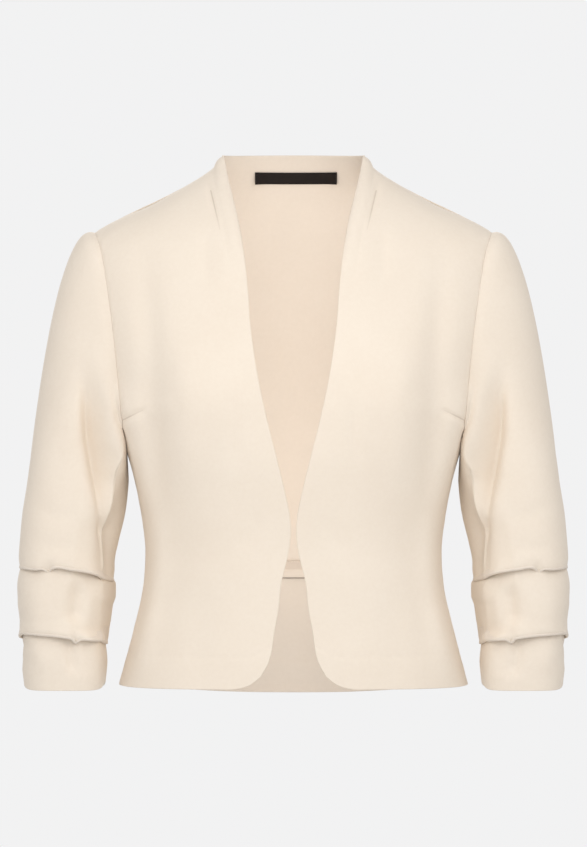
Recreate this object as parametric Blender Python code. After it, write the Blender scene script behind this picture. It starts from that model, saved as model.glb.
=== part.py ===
"""A short open-front blazer with three-quarter tucked sleeves, as a hollow garment of separate cloth panels.

The frame: +Z up, the wearer faces -Y and the wearer's left is +X. The origin is the middle of the neck,
level with the points where the shoulder seams meet the neck. Sizes below are millimetres, and MM turns them
to metres.
"""

import math
from collections import namedtuple

import bmesh
import bpy
import numpy as np

MM = 0.001

# Driving sizes of the cloth and its seams
CLOTH = 1.2
SEAM_GAP = 0.3
SHARP_ANGLE = 50

# Columns of the body panels, as shares of the way from the front edge or the centre back out to the side
PANEL_SHARES = (0.0, 0.045, 0.1, 0.17, 0.26, 0.36, 0.46, 0.56, 0.66, 0.76, 0.88, 1.0)
BACK_COLUMNS = 11
EDGE_POWER = 6

# The torso of the jacket, section by section: half its width, and how far the front and the back stand out
# from the plane of the side seams. Square is the section's superellipse power, 2 for a plain ellipse.
Section = namedtuple("Section", "height half_width front back square")
TORSO = [
    Section(-520, 179.0, 112, 113, 2.5),
    Section(-480, 168.0, 110, 108, 2.5),
    Section(-440, 157.0, 107, 99, 2.5),
    Section(-405, 150.0, 106, 90, 2.5),
    Section(-375, 148.0, 106, 86, 2.5),
    Section(-340, 151.5, 109, 88, 2.55),
    Section(-300, 159.0, 115, 94, 2.6),
    Section(-270, 167.0, 119, 99, 2.6),
    Section(-225, 182.5, 120, 105, 2.6),
    Section(-170, 199.0, 115, 109, 2.5),
    Section(-120, 212.5, 104, 108, 2.2),
    Section(-90, 217.5, 95.5, 105, 2.05),
    Section(-75, 216.5, 90.5, 102.5, 1.98),
    Section(-65, 212.0, 86.5, 100, 1.93),
    Section(-58, 206.0, 83.5, 98.2, 1.9),
    Section(-52, 198.0, 80.5, 96.3, 1.87),
    Section(-40, 177.5, 74, 92, 1.85),
    Section(-20, 136.0, 61, 83, 1.88),
    Section(0, 98.0, 46, 71, 1.95),
    Section(12, 80.5, 37, 63, 2.0),
    Section(25, 71.0, 28, 55, 2.0),
    Section(40, 63.0, 19, 47, 2.0),
]

# The front edge: how far it lies from the centre line, from the rounded hem corner up to the stand's top
Edge = namedtuple("Edge", "height half_gap")
FRONT_EDGE = [
    Edge(-493, 31.0),
    Edge(-478, 23.0),
    Edge(-440, 17.0),
    Edge(-385, 6.5),
    Edge(-340, 3.4),
    Edge(-300, 11.0),
    Edge(-250, 23.5),
    Edge(-200, 34.5),
    Edge(-150, 42.0),
    Edge(-100, 46.0),
    Edge(-50, 53.0),
    Edge(0, 65.0),
    Edge(25, 71.0),
]

# The armhole seam: how far it lies from the centre line on the front and on the back
Armhole = namedtuple("Armhole", "height front back")
ARMHOLE = [
    Armhole(-270, 167.0, 167.0),
    Armhole(-240, 170.5, 172.0),
    Armhole(-200, 174.0, 178.5),
    Armhole(-150, 179.0, 185.0),
    Armhole(-100, 186.0, 190.5),
    Armhole(-70, 191.5, 194.5),
    Armhole(-52, 198.0, 198.0),
]

# How far round the columns of a panel spread at each height, in degrees, before the last of them bend out or
# in to the armhole's own line
Spread = namedtuple("Spread", "height turn")
COLUMN_SPREAD = [
    Spread(-400, 90),
    Spread(-310, 89),
    Spread(-270, 82),
    Spread(-230, 71),
    Spread(-160, 62),
    Spread(-100, 63),
    Spread(-52, 74),
    Spread(-25, 86),
    Spread(0, 90),
]
FRONT_SPREAD_TOP = -140
UNDERARM = -270
SHOULDER_TIP = -52
STAND_TOP = 25

# Rows of the front panel, each from the front edge out to the side seam, the armhole or the shoulder
Row = namedtuple("Row", "edge_height side_height")
FRONT_ROWS = [
    Row(-493, -503),
    Row(-478, -486),
    Row(-450, -456),
    Row(-422, -426),
    Row(-397, -397),
    Row(-368, -368),
    Row(-338, -340),
    Row(-308, -314),
    Row(-278, -290),
    Row(-248, UNDERARM),
    Row(-214, -248),
    Row(-180, -222),
    Row(-146, -192),
    Row(-112, -160),
    Row(-80, -128),
    Row(-50, -100),
    Row(-22, -78),
    Row(2, -64),
    Row(15, -56.5),
    Row(22, -53),
    Row(STAND_TOP, SHOULDER_TIP),
]
UNDERARM_ROW = 9
WAIST_ROW = 4

# The hem: its level at the front, the run of its rounded front corner, and how far the centre back dips
FRONT_HEM = -505
CORNER_RUN = 32
CORNER_POWER = 2.2
HEM_POWER = 4
HEM_FADE_ROWS = 3
BACK_HEM_DIP = 14
STAND_BACK_RISE = 2

# The fullness over the bust that the armhole dart gives the front
BUST_RISE = 9
BUST_REACH = 84
BUST_HEIGHT = -218
BUST_SPREAD = 46
BUST_DROP = 58

# The sleeve below the underarm, and the curve by which its cap leaves the shoulder
Tube = namedtuple("Tube", "height outer inner middle half_depth")
SLEEVE = [
    Tube(-300, 265.5, 165.5, -4, 62),
    Tube(-340, 271.5, 169.0, -7, 60),
    Tube(-380, 275.0, 177.0, -11, 57),
    Tube(-400, 275.5, 179.0, -13, 55.5),
    Tube(-440, 274.5, 182.5, -16, 53),
    Tube(-508, 269.0, 187.0, -20, 48),
]
CAP_END = -300
CAP_RINGS = (0.0, 0.01, 0.035, 0.09, 0.19, 0.33, 0.52, 0.75, 1.0)
CAP_POWER = 0.42
UNDERARM_CLEAR = 0.6
UNDERARM_ZONE = 0.7
CAP_GAP = 0.42
CAP_GAP_POWER = 4

# The two tucks: the height of the fold at the sleeve's middle, how much lower it lies on the inside of the
# arm, how deep the cloth is folded up, and the radii of the two bends on the outer side of the cloth
Tuck = namedtuple("Tuck", "height slant depth")
TUCKS = [Tuck(-392, 6, 16), Tuck(-460, 3, 16)]
FOLD_RADIUS = 1.7
INNER_FOLD_RADIUS = 0.5
FOLD_FLARE = 1.2

# How the cloth comes back out below a tuck to the sleeve's own line
Release = namedtuple("Release", "drop offset")
TUCK_RELEASE = [Release(-3, -4.0), Release(7, -2.4), Release(20, -0.8)]

# Plain rings between the tucks: one at the elbow, one a share of the way to the next fold, two at the hem
ELBOW = -335
FOREARM_SHARE = 0.6
FOREARM_FLARE = 0.3
TIER_SHARE = 0.72
HEM_RINGS = [(-496, -0.5), (-508, -0.6)]

# Where the two sleeve seams lie, as shares of the way round from the shoulder to the underarm
Seam = namedtuple("Seam", "height front back")
SLEEVE_SEAMS = [
    Seam(-250, 0.91, 0.62),
    Seam(-300, 0.80, 0.66),
    Seam(-345, 0.755, 0.70),
    Seam(-420, 0.80, 0.72),
    Seam(-508, 0.86, 0.74),
]
FRONT_SEAM_COLUMN = 10
BACK_SEAM_COLUMN = 15

# The long soft fold down the front of the sleeve, from mid arm to the elbow
Trough = namedtuple("Trough", "top bottom top_share bottom_share depth width")
ARM_FOLD = Trough(-190, -330, 0.52, 0.74, 6.0, 0.075)
ARM_FOLD_AIM = (0.3, -1, 0)
ARM_FOLD_START = 3

# Pieces inside the back
STAY_HEIGHT = 17
STAY_CLOTH = 1.0
LABEL_WIDTH = 82
LABEL_HEIGHT = 12
LABEL_MIDDLE = (2.5, 2.0)
LABEL_CLOTH = 0.8
LABEL_GRID = (9, 3)

# Finishes: base colour, roughness
CREAM = ((0.90, 0.80, 0.68, 1.0), 0.85)
INSIDE_CREAM = ((0.84, 0.72, 0.60, 1.0), 0.85)
LABEL_BLACK = ((0.02, 0.017, 0.016, 1.0), 0.7)


class Profile:
    """A smooth curve through one column of a table, which never swings past the table's own values."""

    def __init__(self, rows, column):
        ordered = sorted(rows, key=lambda row: row.height)
        self.at = np.array([row.height for row in ordered], float)
        self.values = np.array([getattr(row, column) for row in ordered], float)
        steps = np.diff(self.at)
        rises = np.diff(self.values) / steps
        self.slopes = np.concatenate([rises[:1], np.zeros(len(rises) - 1), rises[-1:]])
        for i in range(1, len(rises)):
            before, after = rises[i - 1], rises[i]
            if before * after > 0:
                self.slopes[i] = 2 * before * after / (before + after)

    def __call__(self, height):
        height = min(max(height, self.at[0]), self.at[-1])
        i = min(int(np.searchsorted(self.at, height, side="right")) - 1, len(self.at) - 2)
        step = self.at[i + 1] - self.at[i]
        t = (height - self.at[i]) / step
        start, end = self.values[i], self.values[i + 1]
        bend = t * (1 - t) ** 2 * self.slopes[i] - t * t * (1 - t) * self.slopes[i + 1]
        return start + (end - start) * t * t * (3 - 2 * t) + step * bend


half_width = Profile(TORSO, "half_width")
torso_depth = {"front": Profile(TORSO, "front"), "back": Profile(TORSO, "back")}
square = Profile(TORSO, "square")
half_gap = Profile(FRONT_EDGE, "half_gap")
column_spread = Profile(COLUMN_SPREAD, "turn")
armhole_reach = {"front": Profile(ARMHOLE, "front"), "back": Profile(ARMHOLE, "back")}
sleeve_outer = Profile(SLEEVE, "outer")
sleeve_inner = Profile(SLEEVE, "inner")
sleeve_middle = Profile(SLEEVE, "middle")
sleeve_half_depth = Profile(SLEEVE, "half_depth")
seam_share = {"front": Profile(SLEEVE_SEAMS, "front"), "back": Profile(SLEEVE_SEAMS, "back")}


def lerp(start, end, share):
    return start + (end - start) * share


def unit(vector):
    return vector / np.linalg.norm(vector)


# The torso surface

def bust_fullness(x, height, angle):
    across = (x - BUST_REACH) / BUST_SPREAD
    down = (height - BUST_HEIGHT) / BUST_DROP
    return BUST_RISE * math.exp(-across * across - down * down) * math.cos(angle)


def torso_point(angle, height, facing):
    """A point of the outer cloth: angle 0 is the centre line, a quarter turn the side seam or shoulder."""
    power = 2 / square(height)
    x = half_width(height) * math.sin(abs(angle)) ** power
    y = torso_depth[facing](height) * max(0.0, math.cos(angle)) ** power
    if facing == "front":
        y = -y - bust_fullness(x, height, angle)
    return np.array([math.copysign(x, angle), y, height])


def torso_normal(angle, height, facing):
    """The outward direction of the cloth. On the side and shoulder seams it lies in the seam's plane."""
    turn, drop = math.radians(0.4), 0.4
    limit = math.pi / 2
    after = torso_point(min(angle + turn, limit), height, facing)
    before = torso_point(max(angle - turn, -limit), height, facing)
    across = after - before
    down = torso_point(angle, height - drop, facing) - torso_point(angle, height + drop, facing)
    normal = unit(np.cross(across, down))
    if abs(angle) > limit - turn:
        normal[1] = 0
    outward = np.array([math.sin(angle), -math.cos(angle) if facing == "front" else math.cos(angle), 0])
    return unit(normal) * math.copysign(1, normal @ outward)


def angle_at(reach, height):
    return math.asin(min(1.0, reach / half_width(height)) ** (square(height) / 2))


def end_angle(height, facing):
    """The angle at which a panel ends: the side seam, the armhole or the shoulder seam."""
    if height <= UNDERARM or height >= SHOULDER_TIP:
        return math.pi / 2
    return angle_at(armhole_reach[facing](height), height)


def column_angle(share, start, end, spread):
    """Columns fan out evenly to the spread, and only the outer ones follow the edge of the panel."""
    return lerp(start, spread, share) + (end - spread) * share ** EDGE_POWER


def front_place(row, share):
    """(angle, height) of a point of the front panel, share running from the front edge to the side."""
    edge = row.edge_height
    start = angle_at(half_gap(edge), edge)
    end = end_angle(row.side_height, "front")
    spread = math.radians(column_spread(row.side_height)) if row.side_height < FRONT_SPREAD_TOP else end
    angle = column_angle(share, start, end, spread)
    height = lerp(edge, row.side_height, share)
    fade = 1 - FRONT_ROWS.index(row) / HEM_FADE_ROWS
    if fade > 0:
        x = torso_point(angle, height, "front")[0]
        corner, side = FRONT_ROWS[0]
        past = max(0.0, 1 - (x - half_gap(corner)) / CORNER_RUN)
        hem = FRONT_HEM + (corner - FRONT_HEM) * past ** CORNER_POWER
        height += (lerp(hem, side, share ** HEM_POWER) - lerp(corner, side, share)) * fade
    return angle, height


def shoulder_heights():
    """Heights of the points that the fronts and the back share on the shoulder seam, tip to neck."""
    return [lerp(STAND_TOP, SHOULDER_TIP, share) for share in reversed(PANEL_SHARES)]


def back_heights():
    return [row.side_height for row in FRONT_ROWS[:-1]] + shoulder_heights()


def back_place(level, share):
    """(angle, height) of a point of the back, share running from -1 at one side seam to 1 at the other."""
    spread = math.radians(column_spread(level))
    angle = math.copysign(column_angle(abs(share), 0, end_angle(level, "back"), spread), share)
    height = level
    waist, hem = FRONT_ROWS[WAIST_ROW].side_height, FRONT_ROWS[0].side_height
    hem_fade = (waist - level) / (waist - hem)
    if hem_fade > 0:
        height -= BACK_HEM_DIP * math.cos(angle) ** 2 * hem_fade ** 2
    if level > 0:
        height += STAND_BACK_RISE * math.cos(angle) ** 2 * level / STAND_TOP
    return angle, height


# Walls of cloth

def cloth_node(name, outer, inner, side, material):
    """A closed wall between two grids of points, made by extruding a grid of faces."""
    rows, columns = len(outer), len(outer[0])
    mesh = bmesh.new()
    bmesh.ops.create_grid(mesh, x_segments=columns - 1, y_segments=rows - 1, size=1)
    place = mesh.verts.layers.int.new("place")
    for vert in mesh.verts:
        column = round((vert.co.x + 1) / 2 * (columns - 1))
        row = round((vert.co.y + 1) / 2 * (rows - 1))
        vert[place] = row * columns + column
    first_layer = set(mesh.verts)
    bmesh.ops.extrude_face_region(mesh, geom=list(mesh.faces))
    mirror = np.array([side, 1, 1]) * MM
    for vert in mesh.verts:
        grid = outer if vert in first_layer else inner
        vert.co = grid[vert[place] // columns][vert[place] % columns] * mirror
    bmesh.ops.recalc_face_normals(mesh, faces=list(mesh.faces))
    if mesh.calc_volume(signed=True) < 0:
        bmesh.ops.reverse_faces(mesh, faces=list(mesh.faces))
    data = bpy.data.meshes.new(name)
    mesh.to_mesh(data)
    mesh.free()
    data.attributes.remove(data.attributes["place"])
    data.shade_smooth()
    data.set_sharp_from_angle(angle=math.radians(SHARP_ANGLE))
    data.materials.append(material)
    node = bpy.data.objects.new(name, data)
    bpy.context.scene.collection.objects.link(node)
    return node


def torso_wall(places, facing, depth_start=0.0, thickness=CLOTH):
    """Outer and inner grids of a panel that follows the torso, set in from the outer cloth."""
    outer, inner = [], []
    for row in places:
        points = [torso_point(angle, height, facing) for angle, height in row]
        normals = [torso_normal(angle, height, facing) for angle, height in row]
        outer.append([p - n * depth_start for p, n in zip(points, normals)])
        inner.append([p - n * (depth_start + thickness) for p, n in zip(points, normals)])
    return outer, inner


def part_at_seams(grids, facing):
    """Moves the side and shoulder edge of a panel half a seam gap off the plane that the seam lies in."""
    step = -SEAM_GAP / 2 if facing == "front" else SEAM_GAP / 2
    for grid in grids:
        for row in grid:
            for point in row:
                if abs(point[1]) < SEAM_GAP / 2:
                    point[1] = step


# The panels of the body

def make_fronts(material):
    places = [[front_place(row, share) for share in PANEL_SHARES] for row in FRONT_ROWS]
    for name, side in (("front_right", -1), ("front_left", 1)):
        grids = torso_wall(places, "front")
        part_at_seams(grids, "front")
        cloth_node(name, *grids, side, material)


def back_shares():
    return [column / BACK_COLUMNS for column in range(-BACK_COLUMNS, BACK_COLUMNS + 1)]


def make_backs(material):
    heights = back_heights()
    lower, upper = heights[: WAIST_ROW + 1], heights[WAIST_ROW:]
    lower[-1] -= SEAM_GAP / 2
    upper[0] += SEAM_GAP / 2
    for name, levels in (("back_peplum", lower), ("back_upper", upper)):
        places = [[back_place(level, share) for share in back_shares()] for level in levels]
        grids = torso_wall(places, "back")
        part_at_seams(grids, "back")
        cloth_node(name, *grids, 1, material)


def make_waist_stay(material):
    """A strip on the inside of the back, standing on the waist seam."""
    foot = FRONT_ROWS[WAIST_ROW].side_height + SEAM_GAP
    shares = back_shares()[1:-1]
    places = [[back_place(foot + rise, share) for share in shares] for rise in (0, STAY_HEIGHT)]
    cloth_node("waist_stay", *torso_wall(places, "back", CLOTH + SEAM_GAP, STAY_CLOTH), 1, material)


def make_label(material):
    """A blank label inside the back neck, laid on the points of the back."""
    columns, rows = LABEL_GRID
    middle_x, middle_z = LABEL_MIDDLE
    places = []
    for i in range(rows):
        height = middle_z + LABEL_HEIGHT * (i / (rows - 1) - 0.5)
        line = []
        for j in range(columns):
            x = middle_x + LABEL_WIDTH * (j / (columns - 1) - 0.5)
            line.append((math.copysign(angle_at(abs(x), height), x), height))
        places.append(line)
    cloth_node("neck_label", *torso_wall(places, "back", CLOTH + SEAM_GAP, LABEL_CLOTH), 1, material)


# The sleeves

def armhole_loop():
    """Points of the armhole seam from the shoulder tip down the front to the underarm and up the back.

    Each comes with its share of the way from the shoulder to the underarm, which is negative on the back.
    """
    heights = [row.side_height for row in reversed(FRONT_ROWS[UNDERARM_ROW:])]
    halves = {}
    for facing in ("front", "back"):
        points = [torso_point(end_angle(height, facing), height, facing) for height in heights]
        runs = [np.linalg.norm(b - a) for a, b in zip(points, points[1:])]
        shares = np.concatenate([[0], np.cumsum(runs)]) / sum(runs)
        halves[facing] = list(zip(points, shares))
    back = [(point, -share) for point, share in halves["back"]]
    return halves["front"] + back[-2:0:-1]


def tube_point(share, height, offset):
    """A point of the sleeve below the cap. Share 0 is the arm's outside, 1 its inside, 0.5 its front."""
    turn = math.pi * share
    outer, inner = sleeve_outer(height), sleeve_inner(height)
    half, depth = (outer - inner) / 2, sleeve_half_depth(height)
    across, forward = math.cos(turn), -math.sin(turn)
    direction = unit(np.array([across * depth, forward * half, 0]))
    centre = np.array([(outer + inner) / 2, sleeve_middle(height), height])
    rim = centre + np.array([across * half, forward * depth, 0])
    return rim + direction * (offset - arm_fold(share, height))


def arm_fold(share, height):
    """How deep the soft fold down the front of the arm is at a place."""
    fold = ARM_FOLD
    along = (fold.top - height) / (fold.top - fold.bottom)
    if not 0 < along < 1:
        return 0.0
    across = (share - lerp(fold.top_share, fold.bottom_share, along)) / fold.width
    return fold.depth * math.exp(-across * across) * math.sin(math.pi * along)


def column_share(share, height):
    """Turns the columns with the sleeve's seams, which drift forward as they run down the arm."""
    facing = "front" if share >= 0 else "back"
    start = getattr(SLEEVE_SEAMS[0], facing)
    seam = seam_share[facing](min(height, SLEEVE_SEAMS[0].height))
    if abs(share) <= start:
        return share * seam / start
    rest = (abs(share) - start) / (1 - start)
    return math.copysign(lerp(seam, 1, rest), share)


def tuck_height(tuck, share):
    return tuck.height + tuck.slant * math.cos(math.pi * share)


def tuck_rings(tuck, share):
    """Heights and offsets down one tuck: the fold's edge, the cloth going up behind it and down again."""
    edge = tuck_height(tuck, share)
    top = edge + tuck.depth
    behind = -2 * FOLD_RADIUS
    under = behind - 2 * INNER_FOLD_RADIUS
    return [
        (edge + FOLD_RADIUS, FOLD_FLARE),
        (edge, FOLD_FLARE - FOLD_RADIUS),
        (edge + FOLD_RADIUS, FOLD_FLARE + behind),
        (top - INNER_FOLD_RADIUS, behind),
        (top, behind - INNER_FOLD_RADIUS),
        (top - INNER_FOLD_RADIUS, under),
    ] + [(edge - step.drop, step.offset) for step in TUCK_RELEASE]


def tube_rings(share):
    """Heights and offsets of every ring below the cap, at one share of the way round."""
    first, second = TUCKS
    upper, lower = tuck_height(first, share), tuck_height(second, share)
    rings = [(ELBOW, 0.0), (lerp(ELBOW, upper, FOREARM_SHARE), FOREARM_FLARE)]
    rings += tuck_rings(first, share)
    rings += [(lerp(upper, lower, TIER_SHARE), 0.0)]
    rings += tuck_rings(second, share)
    return rings + HEM_RINGS


def cap_point(seam_point, share, ring):
    """A point between the armhole seam and the first full ring. The rings crowd at the shoulder."""
    ring = lerp(CAP_RINGS[ring], ring / (len(CAP_RINGS) - 1), share * share)
    height = lerp(seam_point[2], CAP_END, ring)
    end = tube_point(column_share(share, CAP_END), CAP_END, 0)
    point = lerp(seam_point, end, ring ** lerp(CAP_POWER, 1, share * share))
    point[2] = height
    point[0] += UNDERARM_CLEAR * max(0.0, abs(share) - UNDERARM_ZONE) / (1 - UNDERARM_ZONE) * (1 - ring)
    if share > 0:
        inset = arm_fold(column_share(share, height), height) * min(1, ARM_FOLD_START * ring)
        point -= inset * unit(np.array(ARM_FOLD_AIM))
    return point


def sleeve_column(seam_point, share):
    column = [cap_point(seam_point, share, ring) for ring in range(len(CAP_RINGS))]
    column[0] = column[0] + CAP_GAP * unit(column[1] - column[0]) * (1 - abs(share) ** CAP_GAP_POWER)
    for height, offset in tube_rings(share):
        column.append(tube_point(column_share(share, height), height, offset))
    return column


def sleeve_grids():
    """Outer and inner grids of the whole sleeve, with rows down the arm and columns round it."""
    columns = [sleeve_column(point, share) for point, share in armhole_loop()]
    outer = np.array(columns).transpose(1, 0, 2)
    around = np.roll(outer, -1, axis=1) - np.roll(outer, 1, axis=1)
    steps = np.diff(outer, axis=0)
    steps /= np.linalg.norm(steps, axis=2, keepdims=True)
    along = np.concatenate([steps[:1], steps[:-1] + steps[1:], steps[-1:]])
    normals = np.cross(along, around)
    normals /= np.linalg.norm(normals, axis=2, keepdims=True)
    if normals[-1, 0, 0] < 0:
        normals = -normals
    return outer, outer - normals * CLOTH


def sleeve_panel(grid, first, last):
    """The columns of one half of the sleeve, its two edges drawn in by half a seam gap."""
    count = grid.shape[1]
    picked = grid[:, [k % count for k in range(first, last + 1)]].copy()
    for edge, inward in ((0, 1), (-1, -2)):
        toward = picked[:, inward] - picked[:, edge]
        picked[:, edge] += toward / np.linalg.norm(toward, axis=1, keepdims=True) * SEAM_GAP / 2
    return picked


def make_sleeves(material):
    outer, inner = sleeve_grids()
    count = outer.shape[1]
    halves = {
        "under_sleeve": (FRONT_SEAM_COLUMN, BACK_SEAM_COLUMN),
        "top_sleeve": (BACK_SEAM_COLUMN, FRONT_SEAM_COLUMN + count),
    }
    for half, (first, last) in halves.items():
        for name, side in ((half + "_right", -1), (half + "_left", 1)):
            panels = [sleeve_panel(grid, first, last) for grid in (outer, inner)]
            cloth_node(name, *panels, side, material)


def finish(name, settings):
    colour, roughness = settings
    material = bpy.data.materials.new(name)
    material.use_nodes = True
    shader = material.node_tree.nodes["Principled BSDF"]
    shader.inputs["Base Color"].default_value = colour
    shader.inputs["Roughness"].default_value = roughness
    shader.inputs["Metallic"].default_value = 0.0
    return material


def main():
    for old in list(bpy.data.objects):
        bpy.data.objects.remove(old)
    cream = finish("cream_crepe", CREAM)
    make_fronts(cream)
    make_backs(cream)
    make_sleeves(cream)
    make_waist_stay(finish("inside_cream", INSIDE_CREAM))
    make_label(finish("label_black", LABEL_BLACK))


main()
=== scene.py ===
# %% [markdown]
# # A short cream blazer, hung in the air as if worn
# The jacket is a hollow garment of ten cloth pieces: two fronts, an upper back and a peplum, two-piece
# sleeves with tucks, a strip inside the waist and a blank label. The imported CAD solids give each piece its
# form and place. This script lays a finer cloth on every solid, with the folds, seams and finish of the
# real thing, and lights it as for a shop picture.

# %% Load the solids
import math
from collections import namedtuple

import bmesh
import bpy
import numpy as np
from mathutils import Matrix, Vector


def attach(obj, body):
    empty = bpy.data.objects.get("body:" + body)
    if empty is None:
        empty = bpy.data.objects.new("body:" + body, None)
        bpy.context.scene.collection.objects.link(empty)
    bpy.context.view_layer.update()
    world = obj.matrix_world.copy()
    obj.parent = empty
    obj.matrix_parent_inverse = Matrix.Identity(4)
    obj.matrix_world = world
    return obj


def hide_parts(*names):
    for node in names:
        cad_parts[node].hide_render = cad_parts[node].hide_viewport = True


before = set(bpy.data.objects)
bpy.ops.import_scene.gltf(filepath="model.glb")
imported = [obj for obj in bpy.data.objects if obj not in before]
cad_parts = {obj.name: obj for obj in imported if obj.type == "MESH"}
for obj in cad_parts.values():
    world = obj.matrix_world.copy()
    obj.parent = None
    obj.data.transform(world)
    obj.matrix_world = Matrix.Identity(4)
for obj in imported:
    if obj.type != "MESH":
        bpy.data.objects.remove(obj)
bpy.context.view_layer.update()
MM = 0.001
print("solids:", sorted(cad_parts))

# %% [markdown]
# ## Camera
# The picture was taken straight on from far away: both sleeves look alike, and nothing of the shoulders'
# tops shows. A long lens six metres off does the same. One pixel of the 587 x 847 picture is one millimetre
# in the plane of the side seams.

# %% Camera
PICTURE_WIDTH = 587
PICTURE_HEIGHT = 847
CENTRE_LINE = PICTURE_WIDTH / 2
NECK_LEVEL = 180
CAMERA_AWAY = 6.0
SENSOR = 36.0
camera = bpy.data.objects.new("camera", bpy.data.cameras.new("camera"))
camera.data.sensor_width = SENSOR
camera.data.lens = SENSOR / (PICTURE_HEIGHT * MM) * CAMERA_AWAY
camera.location = (0, -CAMERA_AWAY, (NECK_LEVEL - PICTURE_HEIGHT / 2) * MM)
camera.rotation_euler = (math.radians(90), 0, 0)
bpy.context.scene.collection.objects.link(camera)
bpy.context.scene.camera = camera
print("lens in mm:", round(camera.data.lens, 1))

# %% [markdown]
# ## Shader sums
# Long node trees are easier to read as sums. This class holds one shader socket: adding or multiplying two
# of them makes the Math node, and node() makes any other node from its type, settings and inputs.


# %% A socket that can be used in sums
class Wire:
    def __init__(self, socket):
        self.socket = socket
        self.tree = socket.id_data

    def node(self, kind, settings=None, inputs=None, output=0):
        made = self.tree.nodes.new(kind)
        for name, value in (settings or {}).items():
            setattr(made, name, value)
        for name, value in (inputs or {}).items():
            if isinstance(value, Wire):
                self.tree.links.new(value.socket, made.inputs[name])
            else:
                made.inputs[name].default_value = value
        return Wire(made.outputs[output])

    def maths(self, operation, first, second):
        return self.node("ShaderNodeMath", {"operation": operation}, {0: first, 1: second})

    def __add__(self, other):
        return self.maths("ADD", self, other)

    def __sub__(self, other):
        return self.maths("SUBTRACT", self, other)

    def __mul__(self, other):
        return self.maths("MULTIPLY", self, other)

    def __pow__(self, other):
        return self.maths("POWER", self, other)

    def part(self, axis):
        """One number of a place: 0 across, 1 deep, 2 up."""
        return self.node("ShaderNodeSeparateXYZ", None, {0: self}, axis)

    def limited(self):
        return self.node("ShaderNodeClamp", None, {0: self})

    def ramp(self, low, high, start, end):
        """A soft change from start, where this value is at low, to end, where it is at high."""
        inputs = {0: self, 1: low, 2: high, 3: start, 4: end}
        return self.node("ShaderNodeMapRange", {"interpolation_type": "SMOOTHSTEP"}, inputs)

    def mixed(self, first, second):
        """A colour between two, with this value as the share of the second."""
        settings = {"data_type": "RGBA", "clamp_factor": True}
        return self.node("ShaderNodeMix", settings, {0: self, 6: first, 7: second}, 2)


# %% [markdown]
# ## Light, floor and background
# The picture has an even pale grey behind the jacket and very soft light from the front and a little above:
# the chest is bright, the cuffs and the undersides of the sleeves are darker. Two soft boxes stand close
# before the chest, two stand wide and high for the sleeves, and others above, beside and behind round off
# the edges. The world gives the fill: it looks pale grey to the camera but lights less strongly, so that
# the folds keep their shade. A jacket filled out with no wearer is lit from within too, or its inside
# would go black, so two small soft boxes stand inside it. The floor lies far below, as the jacket hangs in
# the air.

# %% World
BACKGROUND = (0.887, 0.887, 0.890, 1)
FILL_STRENGTH = 0.65
world = bpy.data.worlds.new("studio")
world.use_nodes = True
bpy.context.scene.world = world
world.node_tree.nodes.clear()
sky = world.node_tree.nodes.new("ShaderNodeOutputWorld")
seen = Wire(world.node_tree.nodes.new("ShaderNodeLightPath").outputs["Is Camera Ray"])
strength = seen * (1 - FILL_STRENGTH) + FILL_STRENGTH
glow = seen.node("ShaderNodeBackground", None, {"Color": BACKGROUND, "Strength": strength})
world.node_tree.links.new(glow.socket, sky.inputs["Surface"])
bpy.context.scene.view_settings.view_transform = "Standard"
print("world fill:", FILL_STRENGTH)

# %% Soft boxes
SoftBox = namedtuple("SoftBox", "name place aim width height power")
SOFT_BOXES = [
    SoftBox("key_left", (-0.22, -1.05, -0.14), (0, 0, -0.25), 0.6, 0.9, 1.95),
    SoftBox("key_right", (0.22, -1.05, -0.14), (0, 0, -0.25), 0.6, 0.9, 1.95),
    SoftBox("wide_left", (-1.25, -1.2, 0.8), (0, 0, -0.2), 0.9, 0.9, 5.6),
    SoftBox("wide_right", (1.25, -1.2, 0.8), (0, 0, -0.2), 0.9, 0.9, 5.6),
    SoftBox("top", (0, -1.0, 2.6), (0, 0, -0.2), 2.0, 1.2, 6),
    SoftBox("side_left", (-3.8, -1.4, 0.4), (0, 0, -0.25), 2.4, 2.4, 6),
    SoftBox("side_right", (3.8, -1.4, 0.4), (0, 0, -0.25), 2.4, 2.4, 6),
    SoftBox("behind_left", (-0.7, 4.4, 1.4), (0, 0, -0.25), 2.0, 2.0, 62),
    SoftBox("behind_right", (0.7, 4.4, 0.9), (0, 0, -0.25), 2.0, 2.0, 34),
    SoftBox("inside_fill", (0, -0.005, -0.22), (-0.42, 1, -0.22), 0.18, 0.40, 0.205),
    SoftBox("inside_low", (0, -0.005, -0.485), (0, 1, -0.485), 0.16, 0.06, 0.034),
]
for box in SOFT_BOXES:
    lamp = bpy.data.lights.new(box.name, "AREA")
    lamp.shape = "RECTANGLE"
    lamp.size = box.width
    lamp.size_y = box.height
    lamp.energy = box.power
    stand = bpy.data.objects.new(box.name, lamp)
    stand.location = box.place
    stand.rotation_euler = (Vector(box.place) - Vector(box.aim)).to_track_quat("Z", "Y").to_euler()
    stand.visible_camera = False
    bpy.context.scene.collection.objects.link(stand)
print("lamps:", [box.name for box in SOFT_BOXES])

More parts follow.
